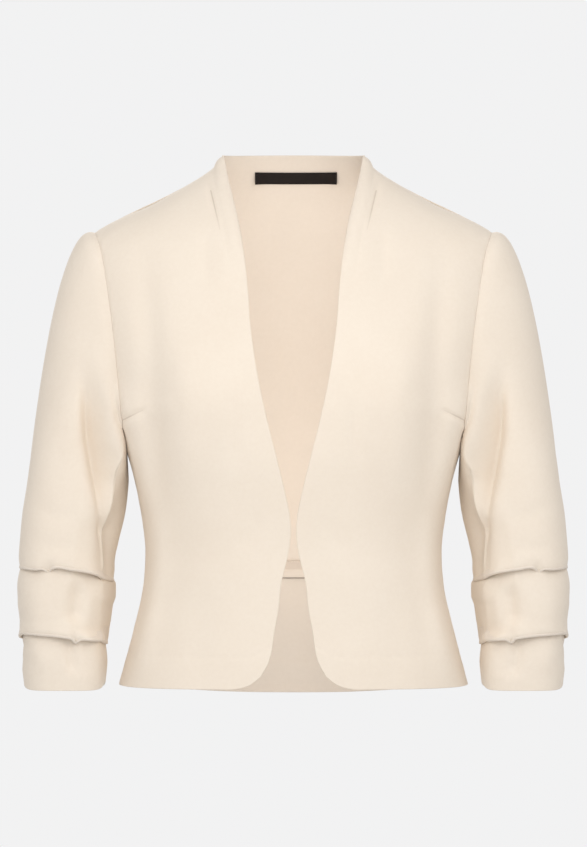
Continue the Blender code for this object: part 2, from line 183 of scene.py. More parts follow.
# %% Floor
FLOOR_LEVEL = -1.38
FLOOR_RADIUS = 3.0
floor_form = bmesh.new()
bmesh.ops.create_circle(floor_form, cap_ends=True, segments=96, radius=FLOOR_RADIUS)
bmesh.ops.translate(floor_form, verts=list(floor_form.verts), vec=(0, 0, FLOOR_LEVEL))
floor_data = bpy.data.meshes.new("floor")
floor_form.to_mesh(floor_data)
floor_form.free()
paper = bpy.data.materials.new("paper")
paper.use_nodes = True
paper.node_tree.nodes["Principled BSDF"].inputs["Base Color"].default_value = (0.8, 0.8, 0.8, 1)
paper.node_tree.nodes["Principled BSDF"].inputs["Roughness"].default_value = 0.9
floor_data.materials.append(paper)
floor = bpy.data.objects.new("floor", floor_data)
bpy.context.scene.collection.objects.link(floor)

# %% [markdown]
# ## Finishes
# The cloth is a plain cream crepe: matt, with a fine pebbled grain that never lines up, and a colour that
# drifts a little from place to place. Grain and drift are noise on Object coordinates, so that they run on
# across every seam. The wrong side is the same cloth, a little darker and pinker. On the fronts the dart
# lines are painted darker too: painted shade of the stitched groove, with a small bump.

# %% Cream crepe, right side and wrong side
Crepe = namedtuple("Crepe", "name pale deep shaded grain roughness sheen")
CREAM_PALE, CREAM_DEEP = (0.845, 0.748, 0.634, 1), (0.815, 0.712, 0.596, 1)
CREAM_SHADED = (0.42, 0.33, 0.26, 1)
INSIDE_PALE, INSIDE_DEEP = (0.800, 0.712, 0.615, 1), (0.770, 0.680, 0.582, 1)
INSIDE_SHADED = (0.30, 0.24, 0.20, 1)
CREPES = [
    Crepe("cream_crepe", CREAM_PALE, CREAM_DEEP, CREAM_SHADED, 0.25, 0.82, 0.12),
    Crepe("dart_shaded_crepe", CREAM_PALE, CREAM_DEEP, CREAM_SHADED, 0.25, 0.82, 0.12),
    Crepe("inside_cream", INSIDE_PALE, INSIDE_DEEP, INSIDE_SHADED, 0.20, 0.86, 0.08),
]
WIDE_DRIFT, FINE_DRIFT, DRIFT_LOW, DRIFT_HIGH = 14, 260, 0.32, 0.68
PEBBLE, SLUB, GRAIN_DEPTH, ROUGH_SPREAD = 1500, 420, 0.0003, 0.10
CLOTH_GLOSS, SHEEN_ROUGHNESS = 0.25, 0.5
# The dart lines on the fronts, drawn as painted shade in the colour and a small bump.
DART_LINES = [((0.1735, -0.2425), (0.1490, -0.2305)), ((0.0822, -0.0123), (0.0728, -0.0514))]
LINE_HALF, LINE_SHADE, LINE_DEPTH, LINE_END = 0.0010, 0.36, 1.5, 0.3
LINE_CORE, LINE_FADE_FROM = 0.25, 0.4


def start_finish(name):
    """A new material with its shader, and the shader's Object coordinates as a Wire."""
    made = bpy.data.materials.new(name)
    made.use_nodes = True
    shader = made.node_tree.nodes["Principled BSDF"]
    place = Wire(made.node_tree.nodes.new("ShaderNodeTexCoord").outputs["Object"])
    return made, shader, place


def noise(place, scale, detail=2.0, roughness=0.5):
    inputs = {"Vector": place, "Scale": scale, "Detail": detail, "Roughness": roughness}
    return place.node("ShaderNodeTexNoise", {"noise_dimensions": "3D"}, inputs)


def link(wire, shader, name):
    wire.tree.links.new(wire.socket, shader.inputs[name])


def emboss(height, shader, strength, depth):
    """Bumps a finish by a height."""
    inputs = {"Strength": strength, "Distance": depth, "Height": height}
    link(height.node("ShaderNodeBump", None, inputs), shader, "Normal")


def line_mask(place, start, end, half_width):
    """1 on a thin straight line seen from the front, 0 beside it, on both sides of the body."""
    run = (end[0] - start[0], end[1] - start[1])
    x = place.maths("ABSOLUTE", place.part(0), 0.0) - start[0]
    z = place.part(2) - start[1]
    share = ((x * run[0] + z * run[1]) * (1 / (run[0] ** 2 + run[1] ** 2))).limited()
    aside, above = x - share * run[0], z - share * run[1]
    gap = (aside * aside + above * above) ** 0.5
    beside = gap.ramp(half_width * LINE_CORE, half_width, 1.0, 0.0)
    return beside * share.ramp(LINE_FADE_FROM, 1.0, 1.0, LINE_END)


def make_crepe(crepe, lines=()):
    made, shader, place = start_finish(crepe.name)
    drift = noise(place, WIDE_DRIFT, 3.0) * 0.6 + noise(place, FINE_DRIFT, 2.0) * 0.4
    spread = {0: drift, 1: DRIFT_LOW, 2: DRIFT_HIGH, 3: 0.0, 4: 1.0}
    tone = drift.node("ShaderNodeMapRange", None, spread)
    colour = tone.mixed(crepe.pale, crepe.deep)
    height = 0.0
    # Painted shade: each dart line mixes the colour towards the shaded tone, as the shadow in its stitched
    # groove.
    for start, end in lines:
        mask = line_mask(place, start, end, LINE_HALF)
        colour = (mask * LINE_SHADE).mixed(colour, crepe.shaded)
        height = mask * -LINE_DEPTH + height
    link(colour, shader, "Base Color")
    pebble = noise(place, PEBBLE, 3.0, 0.6)
    slub = noise(place, SLUB, 2.0)
    link(pebble * ROUGH_SPREAD + (crepe.roughness - ROUGH_SPREAD / 2), shader, "Roughness")
    emboss(pebble * 0.7 + slub * 0.5 + height, shader, crepe.grain, GRAIN_DEPTH)
    shader.inputs["Sheen Weight"].default_value = crepe.sheen
    shader.inputs["Sheen Roughness"].default_value = SHEEN_ROUGHNESS
    shader.inputs["Specular IOR Level"].default_value = CLOTH_GLOSS
    return made


cream_crepe, dart_shaded_crepe, inside_cream = [
    make_crepe(crepe, lines) for crepe, lines in zip(CREPES, ((), DART_LINES, ()))
]
print("finishes:", cream_crepe.name, dart_shaded_crepe.name, inside_cream.name)

# %% [markdown]
# ## Reading a panel back from its solid
# Each panel was cut as rows and columns of points, but its solid comes back as loose triangles. The points
# can be had by joining the triangles in pairs again. A corner of the puzzle is solved by shape: the longest
# side of a right-angled triangle is the slanting cut across a cell. From there the rest follows by counting,
# because in an even net the slanting edges of a point lie opposite each other.

# %% Find the slanting cuts of one layer of cloth
CLOTH = 1.2
RIM_SLACK = 0.08
FACES_OUT = 0.8


def is_rim(vert):
    return any(abs(edge.calc_length() / MM - CLOTH) < RIM_SLACK for edge in vert.link_edges)


def outward(point, axis):
    """The level direction from an upright axis, given as (x, y) in millimetres, to a point."""
    away = np.array([point[0] - axis[0] * MM, point[1] - axis[1] * MM, 0])
    return away / np.linalg.norm(away)


def first_cut(mesh, axis):
    """The slanting edge of the best right-angled triangle on the outer side of the cloth."""
    best, cut = 1.0, None
    sizes = sorted(face.calc_area() for face in mesh.faces)
    for face in mesh.faces:
        facing = np.array(face.normal) @ outward(face.calc_center_median(), axis)
        if facing < FACES_OUT or face.calc_area() < sizes[len(sizes) // 2]:
            continue
        if any(is_rim(vert) for vert in face.verts):
            continue
        skew = min(abs(loop.calc_angle() - math.pi / 2) for loop in face.loops)
        if skew < best:
            best, cut = skew, max(face.edges, key=lambda edge: edge.calc_length())
    return cut


def ring_of_edges(vert):
    """The edges round a vertex in order, starting anywhere."""
    loop = vert.link_loops[0]
    edges = []
    for _ in range(len(vert.link_edges)):
        edges.append(loop.edge)
        loop = loop.link_loop_prev.link_loop_radial_next
    return edges


def slanting_cuts(mesh, axis):
    """Every slanting edge of the outer layer. The rim stops the search, so the inner layer stays as it is."""
    inner_verts = [vert for vert in mesh.verts if len(vert.link_edges) == 6 and not is_rim(vert)]
    rings = {vert: ring_of_edges(vert) for vert in inner_verts}
    slanted, straight = {first_cut(mesh, axis)}, set()
    settled = 0
    while settled != len(slanted) + len(straight):
        settled = len(slanted) + len(straight)
        for ring in rings.values():
            found = [i for i in range(6) if ring[i] in slanted]
            if found:
                pair = {ring[found[0]], ring[(found[0] + 3) % 6]}
                slanted |= pair
                straight |= set(ring) - pair
        for face in mesh.faces:
            edges = set(face.edges)
            if edges & slanted:
                straight |= edges - slanted
            elif len(edges & straight) == 2:
                slanted |= edges - straight
    return slanted


# %% Walk the cells into rows and columns
def cells_of(mesh, axis):
    """The four vertices of every cell, in order round it."""
    cells = []
    for edge in slanting_cuts(mesh, axis):
        start, end = edge.verts
        sides = [next(v for v in face.verts if v not in edge.verts) for face in edge.link_faces]
        cells.append((start, sides[0], end, sides[1]))
    return cells


def across_cell(cell, first, second):
    """The pair of vertices on the far side of a cell from an edge, in the same order."""
    i, j = cell.index(first), cell.index(second)
    turn = (j - i) % 4
    return cell[(i - turn) % 4], cell[(j + turn) % 4]


def walk_panel(name, axis):
    """The outer points of a panel in millimetres, as rows and columns."""
    mesh = bmesh.new()
    mesh.from_mesh(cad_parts[name].data)
    bmesh.ops.remove_doubles(mesh, verts=list(mesh.verts), dist=1e-6)
    cells = cells_of(mesh, axis)
    beside, uses = {}, {}
    for cell in cells:
        for k in range(4):
            beside.setdefault(frozenset((cell[k], cell[(k + 1) % 4])), []).append(cell)
            uses[cell[k]] = uses.get(cell[k], 0) + 1

    def strip(cell, first, second):
        """Follows the cells on from an edge, and gives the vertices along both of the strip's sides."""
        sides = [(first, second)]
        while cell:
            first, second = across_cell(cell, first, second)
            sides.append((first, second))
            after = [other for other in beside[frozenset((first, second))] if other is not cell]
            cell = after[0] if after else None
        return [list(line) for line in zip(*sides)]

    corner_cell = next(cell for cell in cells if any(uses[vert] == 1 for vert in cell))
    corner = next(vert for vert in corner_cell if uses[vert] == 1)
    k = corner_cell.index(corner)
    rows = strip(corner_cell, corner, corner_cell[(k + 1) % 4])
    cell = corner_cell
    while True:
        after = [other for other in beside[frozenset(rows[-1][:2])] if other is not cell]
        if not after:
            break
        cell = after[0]
        low = across_cell(cell, rows[-1][0], rows[-1][1])[0]
        rows.append(strip(cell, rows[-1][0], low)[1])
    points = np.array([[vert.co for vert in row] for row in rows], float) / MM
    mesh.free()
    return points


# %% Turn every panel the same way
BODY_AXIS = (0, 0)
SLEEVE_AXIS, ARM_MIDDLE = 226, -13
RISE, RIGHTWARD, FORWARD = (0, 0, 1), (1, 0, 0), (0, -1, 0)


def settled_points(name, axis, across):
    """Rows from the bottom up, and columns that run the way that across says."""
    points = walk_panel(name, axis)
    if abs(points[-1] - points[0])[:, 2].mean() < abs(points[:, -1] - points[:, 0])[:, 2].mean():
        points = points.transpose(1, 0, 2)
    if (points[-1] - points[0]).mean(axis=0) @ RISE < 0:
        points = points[::-1]
    if (points[:, -1] - points[:, 0]).mean(axis=0) @ across < 0:
        points = points[:, ::-1]
    print(name, "rows and columns:", points.shape[:2])
    return points


# %% [markdown]
# ## A finer cloth
# The points of the solid lie 10 to 30 mm apart, too far for folds. A curve is run through them both ways and
# read off every few millimetres, closer at the edges, where seams dip and hems turn.

# %% Curves through the points
PITCH, TOP_SLEEVE_PITCH, FINE_PITCH = 2.6, 2.3, 1.8
EDGE_STEPS = (0.7, 1.6, 3.0, 5.0)
LEAST_STEPS = 3


def stations(points, pitch):
    """Places along the first side of a grid, counted in its own cells."""
    lengths = np.linalg.norm(np.diff(points, axis=0), axis=2).mean(axis=1)
    places = []
    for cell, length in enumerate(lengths):
        steps = max(LEAST_STEPS, math.ceil(length / pitch))
        places += [cell + k / steps for k in range(steps)]
    last = len(lengths)
    near = [step / lengths[0] for step in EDGE_STEPS if step < lengths[0] / 2]
    far = [last - step / lengths[-1] for step in EDGE_STEPS if step < lengths[-1] / 2]
    kept = [place for place in places if not near or place == 0 or place > near[-1]]
    kept = [place for place in kept if not far or place < far[-1]]
    return np.array(sorted(kept + near + far + [last]))


def curve_through(points, places):
    """Reads a smooth curve through the points of each column at the places given."""
    rises = np.diff(points, axis=0)
    span = np.maximum(np.sqrt(np.linalg.norm(rises, axis=2, keepdims=True)), 1e-6)
    rises = rises / span
    middle = (rises[:-1] * span[1:] + rises[1:] * span[:-1]) / (span[:-1] + span[1:])
    start = 1.5 * rises[:1] - 0.5 * middle[:1]
    end = 1.5 * rises[-1:] - 0.5 * middle[-1:]
    slopes = np.concatenate([start, middle, end])
    cell = np.minimum(places.astype(int), len(points) - 2)
    t = (places - cell)[:, None, None]
    pull = t * (1 - t) ** 2 * slopes[cell] - t * t * (1 - t) * slopes[cell + 1]
    smooth = t * t * (3 - 2 * t)
    return points[cell] + (points[cell + 1] - points[cell]) * smooth + span[cell] * pull


# %% The panel and its measures
class Panel:
    """One piece of cloth as a fine grid, with its lengths and its distance to each edge, in millimetres."""

    def __init__(self, name, axis, across, pitch=PITCH):
        rough = settled_points(name, axis, across)
        rows = curve_through(rough, stations(rough, pitch))
        turned = rows.transpose(1, 0, 2)
        self.name = name
        self.axis = axis
        self.points = curve_through(turned, stations(turned, pitch)).transpose(1, 0, 2)
        self.measure()

    def measure(self):
        self.along = self.run(0)
        self.around = self.run(1)
        self.to = {
            "bottom": self.along,
            "top": self.along[-1:] - self.along,
            "first": self.around,
            "last": self.around[:, -1:] - self.around,
        }
        self.flat = (self.around[:, -1].max() * MM, self.along[-1].max() * MM)
        self.area = self.measure_area()

    def run(self, axis):
        steps = np.linalg.norm(np.diff(self.points, axis=axis), axis=2)
        return np.cumsum(np.insert(steps, 0, 0, axis=axis), axis=axis)

    def measure_area(self):
        p = self.points
        one = np.cross(p[1:, 1:] - p[:-1, :-1], p[1:, :-1] - p[:-1, 1:])
        return np.linalg.norm(one, axis=2).sum() / 2 * MM * MM

    def normals(self):
        """Outward directions, which turn over with the cloth where it is folded."""
        up = np.gradient(self.points, axis=0)
        over = np.gradient(self.points, axis=1)
        normal = np.cross(over, up)
        normal /= np.maximum(np.linalg.norm(normal, axis=2, keepdims=True), 1e-9)
        return normal if (normal * self.away()).sum() > 0 else -normal

    def away(self):
        """Level directions away from the middle of the body or the arm."""
        away = self.points - np.array([*self.axis, 0])
        away[:, :, 2] = 0
        return away / np.linalg.norm(away, axis=2, keepdims=True)

    def x(self):
        return self.points[:, :, 0]

    def z(self):
        return self.points[:, :, 2]


# %% [markdown]
# ## Folds placed one by one
# A fold is a soft trough or ridge along a short line. Its height falls off to both sides like a bell and it
# fades at its ends. Each one has its own line, width and height in millimetres. Lines on the front were read
# off the picture, so they are written in its pixels.

# %% A soft trough or ridge
Fold = namedtuple("Fold", "line width height")
FADE = 0.35


def pixels(*line):
    """A line in pixels of the picture, turned to millimetres across and up."""
    return [(x - CENTRE_LINE, NECK_LEVEL - y) for x, y in line]


def ease(share):
    """A soft step: 0 up to a share of 0, 1 from a share of 1."""
    share = np.clip(share, 0, 1)
    return share * share * (3 - 2 * share)


def bell(gap, width):
    """1 where the gap is nothing, falling off like a bell to both sides."""
    return np.exp(-(gap / width) ** 2)


def raise_fold(x, z, fold):
    """How far a fold lifts each place, with a minus for a trough."""
    runs = [math.dist(a, b) for a, b in zip(fold.line, fold.line[1:])]
    nearest = np.full(x.shape, np.inf)
    share = np.zeros(x.shape)
    done = 0.0
    for (ax, az), (bx, bz), run in zip(fold.line, fold.line[1:], runs):
        t = np.clip(((x - ax) * (bx - ax) + (z - az) * (bz - az)) / run ** 2, 0, 1)
        gap = np.hypot(x - ax - t * (bx - ax), z - az - t * (bz - az))
        closer = gap < nearest
        nearest = np.where(closer, gap, nearest)
        share = np.where(closer, (done + t * run) / sum(runs), share)
        done += run
    ends = ease(share / FADE) * ease((1 - share) / FADE)
    return fold.height * bell(nearest, fold.width) * ends


def fold_all(x, z, folds):
    return sum(raise_fold(x, z, fold) for fold in folds)


# %% [markdown]
# ## Seams and edges
# Where two panels are sewn together the cloth dips to the stitches and puckers a little beside them. At a
# free edge the cloth is turned under, so it is thicker there. Both follow the distance to the panel's edge.

# %% Seam dips and turned edges
SEAM_DEPTH = 0.5
SEAM_WIDTH = 2.0
PUCKER_HEIGHT = 0.22
PUCKER_REACH = 8.0
PUCKER_CLEAR = 2.0
Wave = namedtuple("Wave", "length shift height")
PUCKER_WAVES = [Wave(2.9, 1.0, 0.5), Wave(4.7, 2.3, 0.6), Wave(9.1, 1.0, 0.5)]
SEAM_CLOSE = 0.22
TURNED = 0.9
TURNED_WIDTH = 6.0


def pucker(run, seed):
    """A slow uneven ripple along a seam."""
    return sum(np.sin(run / wave.length + seed * wave.shift) * wave.height for wave in PUCKER_WAVES)


def seam_dip(panel, edges, seed):
    """How far the seams at the edges named pull the cloth in."""
    lift = np.zeros(panel.along.shape)
    for edge in edges:
        gap = panel.to[edge]
        run = panel.along if edge in ("first", "last") else panel.around
        lift -= SEAM_DEPTH * bell(gap, SEAM_WIDTH)
        near = np.exp(-gap / PUCKER_REACH) * ease(gap / PUCKER_CLEAR)
        lift += PUCKER_HEIGHT * pucker(run, seed) * near
    return lift


def close_seams(panel, edges):
    """Draws the cloth out to the seam line, so that no light shows between two panels."""
    p = panel.points
    borders = {
        "bottom": (p[0], p[1]),
        "top": (p[-1], p[-2]),
        "first": (p[:, 0], p[:, 1]),
        "last": (p[:, -1], p[:, -2]),
    }
    for edge in edges:
        border, inside = borders[edge]
        step = border - inside
        border += step / np.linalg.norm(step, axis=1, keepdims=True) * SEAM_CLOSE


def turned_edges(panel, edges):
    """The extra thickness of cloth turned under along free edges."""
    return sum(TURNED * np.exp(-(panel.to[edge] / TURNED_WIDTH) ** 4) for edge in edges)


# %% Two layers of faces from one panel
def sew(panel, finishes, thickness):
    """A closed cloth: a grid of faces, extruded and laid on the panel's points and their wrong side."""
    rows, columns = panel.points.shape[:2]
    mesh = bmesh.new()
    weave = mesh.loops.layers.uv.new("weave")
    bmesh.ops.create_grid(mesh, x_segments=columns - 1, y_segments=rows - 1, size=1)
    place = mesh.verts.layers.int.new("place")
    for vert in mesh.verts:
        column = round((vert.co.x + 1) / 2 * (columns - 1))
        vert[place] = round((vert.co.y + 1) / 2 * (rows - 1)) * columns + column
    right_side = set(mesh.verts)
    bmesh.ops.extrude_face_region(mesh, geom=list(mesh.faces))
    outer = (panel.points * MM).reshape(-1, 3)
    inner = ((panel.points - panel.normals() * thickness[:, :, None]) * MM).reshape(-1, 3)
    for vert in mesh.verts:
        vert.co = (outer if vert in right_side else inner)[vert[place]]
    cut = np.stack([panel.around, panel.along], axis=2).reshape(-1, 2) * MM
    for face in mesh.faces:
        face.smooth = True
        face.material_index = int(not any(vert in right_side for vert in face.verts))
        for loop in face.loops:
            loop[weave].uv = cut[loop.vert[place]]
    bmesh.ops.recalc_face_normals(mesh, faces=list(mesh.faces))
    if mesh.calc_volume(signed=True) < 0:
        bmesh.ops.reverse_faces(mesh, faces=list(mesh.faces))
    return cloth_object(panel.name, mesh, finishes)


def cloth_object(node, mesh, finishes):
    """A finished object that stands for a CAD node."""
    data = bpy.data.meshes.new("cloth_" + node)
    triangles = sum(len(face.verts) - 2 for face in mesh.faces)
    mesh.to_mesh(data)
    mesh.free()
    data.attributes.remove(data.attributes["place"])
    for finish in finishes:
        data.materials.append(finish)
    made = bpy.data.objects.new("cloth_" + node, data)
    bpy.context.scene.collection.objects.link(made)
    print(made.name, "triangles:", triangles)
    return made


# %% [markdown]
# ## The fronts
# Each front hangs from the shoulder, is full over the bust because of the dart from the armhole, and falls
# nearly straight to the hem. The neck dart pulls a short line below the stand, and soft folds drop from its
# point. The two sides are alike but not the same, so each has its own list.

# %% Folds of the fronts
FRONT_FOLDS = {
    "front_right": [
        Fold(pixels((207, 178), (212, 203), (220, 230)), 3.4, -1.4),
        Fold(pixels((212, 180), (219, 205), (228, 236)), 6.0, 1.1),
        Fold(pixels((209, 226), (206, 254), (207, 290)), 7.0, -1.3),
        Fold(pixels((224, 232), (226, 260), (224, 300)), 8.0, 0.9),
        Fold(pixels((117, 424), (133, 416), (150, 408)), 3.2, -1.6),
        Fold(pixels((140, 418), (158, 411), (182, 404)), 10.0, 1.3),
        Fold(
            pixels((147, 215), (148, 290), (151, 345), (152, 400), (155, 450), (160, 510), (158, 565)),
            14.0,
            -4.2,
        ),
        Fold(pixels((184, 320), (186, 380), (188, 440), (194, 510)), 16.0, 3.0),
        Fold(pixels((236, 372), (238, 420), (235, 478)), 6.5, -1.2),
        Fold(pixels((262, 505), (254, 530), (240, 552)), 9.0, -0.9),
        Fold(pixels((204, 575), (199, 630), (194, 688)), 17.0, -1.4),
        Fold(pixels((152, 590), (146, 640), (138, 684)), 13.0, 1.1),
    ],
    "front_left": [
        Fold(pixels((380, 176), (375, 202), (367, 230)), 3.4, -1.4),
        Fold(pixels((374, 178), (367, 205), (359, 238)), 6.0, 1.1),
        Fold(pixels((379, 224), (383, 252), (381, 292)), 7.5, -1.4),
        Fold(pixels((364, 232), (361, 258), (363, 296)), 8.0, 0.9),
        Fold(pixels((470, 425), (454, 417), (437, 408)), 3.2, -1.6),
        Fold(pixels((447, 418), (429, 410), (404, 405)), 10.0, 1.3),
        Fold(
            pixels((440, 218), (439, 292), (436, 346), (435, 402), (432, 452), (427, 512), (429, 567)),
            14.0,
            -4.2,
        ),
        Fold(pixels((403, 322), (401, 384), (399, 442), (393, 512)), 16.0, 3.0),
        Fold(pixels((356, 378), (353, 430), (356, 486)), 7.0, -1.2),
        Fold(pixels((334, 372), (331, 392), (332, 415)), 6.0, -0.8),
        Fold(pixels((322, 508), (331, 532), (346, 556)), 9.0, -0.9),
        Fold(pixels((386, 580), (392, 636), (398, 690)), 16.0, -1.3),
        Fold(pixels((437, 588), (444, 640), (450, 684)), 13.0, 1.2),
    ],
}
NECK_ROLL_HEIGHT, NECK_ROLL_WIDTH = 1.7, 15.0
NECK_ROLL_END, NECK_ROLL_FADE, NECK_EDGE = -110, 60, 3.0
HEM_DEPTH = 33.0
HEM_LINE, HEM_LINE_WIDTH = 0.22, 2.4
HEM_PULLS = [Wave(1.9, 0.0, 0.5), Wave(3.3, 0.0, 0.4)]


def hem_line(panel):
    """The faint dent where a hem is caught on the inside, with the small pulls of its stitches."""
    pull = sum((wave.height * np.sin(panel.around / wave.length) for wave in HEM_PULLS), 1)
    return -HEM_LINE * bell(panel.to["bottom"] - HEM_DEPTH, HEM_LINE_WIDTH) * pull


def neck_roll(panel, edge):
    """The soft roll of the turned edge beside the neck."""
    gap = panel.to[edge]
    high = ease((panel.z() - NECK_ROLL_END) / NECK_ROLL_FADE)
    roll = np.sin(np.pi * np.clip(gap / NECK_ROLL_WIDTH, 0, 1))
    return NECK_ROLL_HEIGHT * high * (roll - np.exp(-gap / NECK_EDGE))


# %% Trim the fronts
FRONT_SIDES = [
    Fold(pixels((130, 375), (131, 425), (137, 475), (145, 525)), 16.0, 12.0),
    Fold(pixels((119, 375), (122, 410), (126, 445), (131, 485)), 8.0, 6.0),
    Fold(pixels((150, 475), (155, 530), (154, 570), (147, 615), (137, 655), (128, 700)), 14.0, 10.0),
]
OpeningTrim = namedtuple("OpeningTrim", "level reach shift")
OPENING_TRIMS = [OpeningTrim(-400, 20.0, 3.2), OpeningTrim(-358, 16.0, -0.9)]
OPENING_DEPTH = 30.0
CORNER_TRIM, CORNER_REACH = (1.1, 0.8), 9.0
SHOULDER_DROP, SHOULDER_MIDDLE, SHOULDER_REACH, SHOULDER_DEPTH = 2.0, 143.0, 28.0, 40.0
ARMPIT, ARMPIT_REACH, SIDE_HELD = -275, 14.0, 10.0


def lower_shoulder(panel):
    """Draws the middle of the shoulder down a little, alike on front and back, so the seam stays shut."""
    middle = bell(abs(panel.x()) - SHOULDER_MIDDLE, SHOULDER_REACH)
    panel.points[:, :, 2] -= SHOULDER_DROP * middle * bell(panel.to["top"], SHOULDER_DEPTH)


def free_of_seam(panel, edge, held):
    """0 at an edge sewn to the back, 1 away from it. Above the armpit the edge may move too."""
    return np.maximum(ease(panel.to[edge] / held), ease((panel.z() - ARMPIT) / ARMPIT_REACH))


def trim_front(panel, open_edge, side_edge):
    """Widens the opening below the waist, rounds its corner and brings the side forward to the light."""
    sign = np.sign(panel.x().mean())
    column = -1 if open_edge == "last" else 0
    corner = np.linalg.norm(panel.points - panel.points[0, column], axis=2)
    rounded = bell(corner, CORNER_REACH)
    opened = sum(trim.shift * bell(panel.z() - trim.level, trim.reach) for trim in OPENING_TRIMS)
    opened *= bell(panel.to[open_edge], OPENING_DEPTH)
    forward = fold_all(-abs(panel.x()), panel.z(), FRONT_SIDES)
    forward *= free_of_seam(panel, side_edge, SIDE_HELD)
    panel.points[:, :, 0] += sign * (opened + CORNER_TRIM[0] * rounded)
    panel.points[:, :, 1] -= forward
    panel.points[:, :, 2] += CORNER_TRIM[1] * rounded


# %% The fronts
pieces = {}
FRONT_EDGES = {"front_right": ("last", "first", 0.4), "front_left": ("first", "last", 1.9)}
for name, (open_edge, side_edge, seed) in FRONT_EDGES.items():
    panel = Panel(name, BODY_AXIS, RIGHTWARD, FINE_PITCH)
    lift = fold_all(panel.x(), panel.z(), FRONT_FOLDS[name])
    lift += seam_dip(panel, (side_edge,), seed) + neck_roll(panel, open_edge) + hem_line(panel)
    panel.points += panel.normals() * lift[:, :, None]
    trim_front(panel, open_edge, side_edge)
    lower_shoulder(panel)
    close_seams(panel, (side_edge, "top"))
    thickness = CLOTH + turned_edges(panel, (open_edge, "bottom"))
    pieces[name] = (sew(panel, (dart_shaded_crepe, inside_cream), thickness), panel)

# %% [markdown]
# ## The backs
# The picture shows only the inside of the back. The outside is given the folds such a back has: soft hollows
# beside the shoulder blades, two slanting folds above the waist seam and a few flutes in the peplum.

# %% Folds of the backs
BACK_FOLDS = {
    "back_upper": [
        Fold([(-126, -120), (-118, -190), (-121, -275)], 15.0, -2.4),
        Fold([(122, -130), (117, -205), (124, -290)], 14.0, -2.6),
        Fold([(-4, -40), (3, -120), (-2, -210)], 26.0, -1.4),
        Fold([(-96, -352), (-30, -372), (48, -366)], 8.0, -1.9),
        Fold([(-40, -340), (30, -352), (98, -338)], 9.0, -1.6),
        Fold([(-88, -368), (-20, -386), (40, -383)], 7.0, 1.2),
        Fold([(-140, -296), (-118, -330), (-84, -352)], 10.0, -1.3),
        Fold([(146, -292), (120, -322), (92, -340)], 10.0, -1.4),
        Fold([(-168, -180), (-150, -226), (-146, -270)], 9.0, 1.4),
        Fold([(170, -172), (154, -220), (147, -268)], 9.0, 1.4),
    ],
    "back_peplum": [
        Fold([(-118, -400), (-126, -450), (-134, -512)], 14.0, 1.9),
        Fold([(-72, -404), (-76, -455), (-80, -518)], 15.0, -1.7),
        Fold([(-18, -404), (-22, -460), (-20, -520)], 17.0, 1.6),
        Fold([(40, -404), (44, -455), (50, -520)], 15.0, -1.8),
        Fold([(92, -402), (100, -455), (108, -514)], 14.0, 1.7),
        Fold([(140, -402), (150, -450), (160, -506)], 10.0, -1.2),
    ],
}
STAY_TOP, STAY_FOOT, STAY_CLEAR = -376, -400, 14.0
WAIST_SEAM, WAIST_DROP, WAIST_REACH = -397, 3.0, 30.0
FACING, FACING_STEP = 0.5, 1.6


def clear_of_stay(panel):
    """Lets no fold move the cloth where the waist strip lies close against it."""
    below = ease((STAY_TOP + STAY_CLEAR - panel.z()) / STAY_CLEAR)
    return 1 - below * ease((panel.z() - STAY_FOOT + STAY_CLEAR) / STAY_CLEAR)


def lower_waist(panel):
    """Draws the waist seam down to where the picture shows it."""
    panel.points[:, :, 2] -= WAIST_DROP * bell(panel.z() - WAIST_SEAM, WAIST_REACH)


# %% The backs
BACK_SEAMS = {
    "back_upper": (("first", "last", "bottom"), 2.7),
    "back_peplum": (("first", "last", "top"), 3.3),
}
for name, (seams, seed) in BACK_SEAMS.items():
    panel = Panel(name, BODY_AXIS, RIGHTWARD)
    lift = fold_all(panel.x(), panel.z(), BACK_FOLDS[name]) * clear_of_stay(panel)
    lift += seam_dip(panel, seams, seed)
    thickness = np.full(lift.shape, CLOTH)
    if name == "back_peplum":
        lift += hem_line(panel)
        thickness += turned_edges(panel, ("bottom",))
        thickness += FACING * ease((HEM_DEPTH - panel.to["bottom"]) / FACING_STEP)
    panel.points += panel.normals() * lift[:, :, None]
    lower_waist(panel)
    if name == "back_upper":
        lower_shoulder(panel)
    close_seams(panel, seams)
    pieces[name] = (sew(panel, (cream_crepe, inside_cream), thickness), panel)

# %% [markdown]
# ## The sleeves
# Two tucks are folded up round each sleeve and caught with a few stitches, so their edges wave, stand off the
# cloth below in places and pinch at the stitches. A long fold runs down the front of the arm from mid arm
# to the upper tuck, beside the seam. The back of the elbow has the short folds that a bent arm leaves. A
# sleeve stands off a slim arm, so its front and back are flatter than a tube's.

# %% The arm inside the sleeve
Ring = namedtuple("Ring", "level middle_x middle_y half depth")
ARM_RINGS = [
    Ring(-508, 228.0, -20, 41.0, 48.0),
    Ring(-440, 228.5, -16, 46.0, 53.0),
    Ring(-380, 226.0, -11, 49.0, 57.0),
    Ring(-340, 220.2, -7, 51.2, 60.0),
    Ring(-300, 215.5, -4, 50.0, 62.0),
]
ARM_SQUARE, EDGE_SQUARE, LOW_ROUND = 2.7, 3.0, 1.0
SQUARE_FROM, SQUARE_TO = -205, -300
FRONT_FROM, FRONT_OVER = 0.3, 0.6
Stretch = namedtuple("Stretch", "side over top top_fade foot foot_fade")
INNER_EDGE = Stretch(-0.5, 0.3, -235, 30, -350, 40)
LOW_INSIDE = Stretch(0.1, 0.4, -312, 40, -462, 12)


def arm_at(panel):
    """The middle, half width and half depth of the arm at the level of every place."""
    levels = [ring.level for ring in ARM_RINGS]
    return [np.interp(panel.z(), levels, [ring[k] for ring in ARM_RINGS]) for k in range(1, 5)]


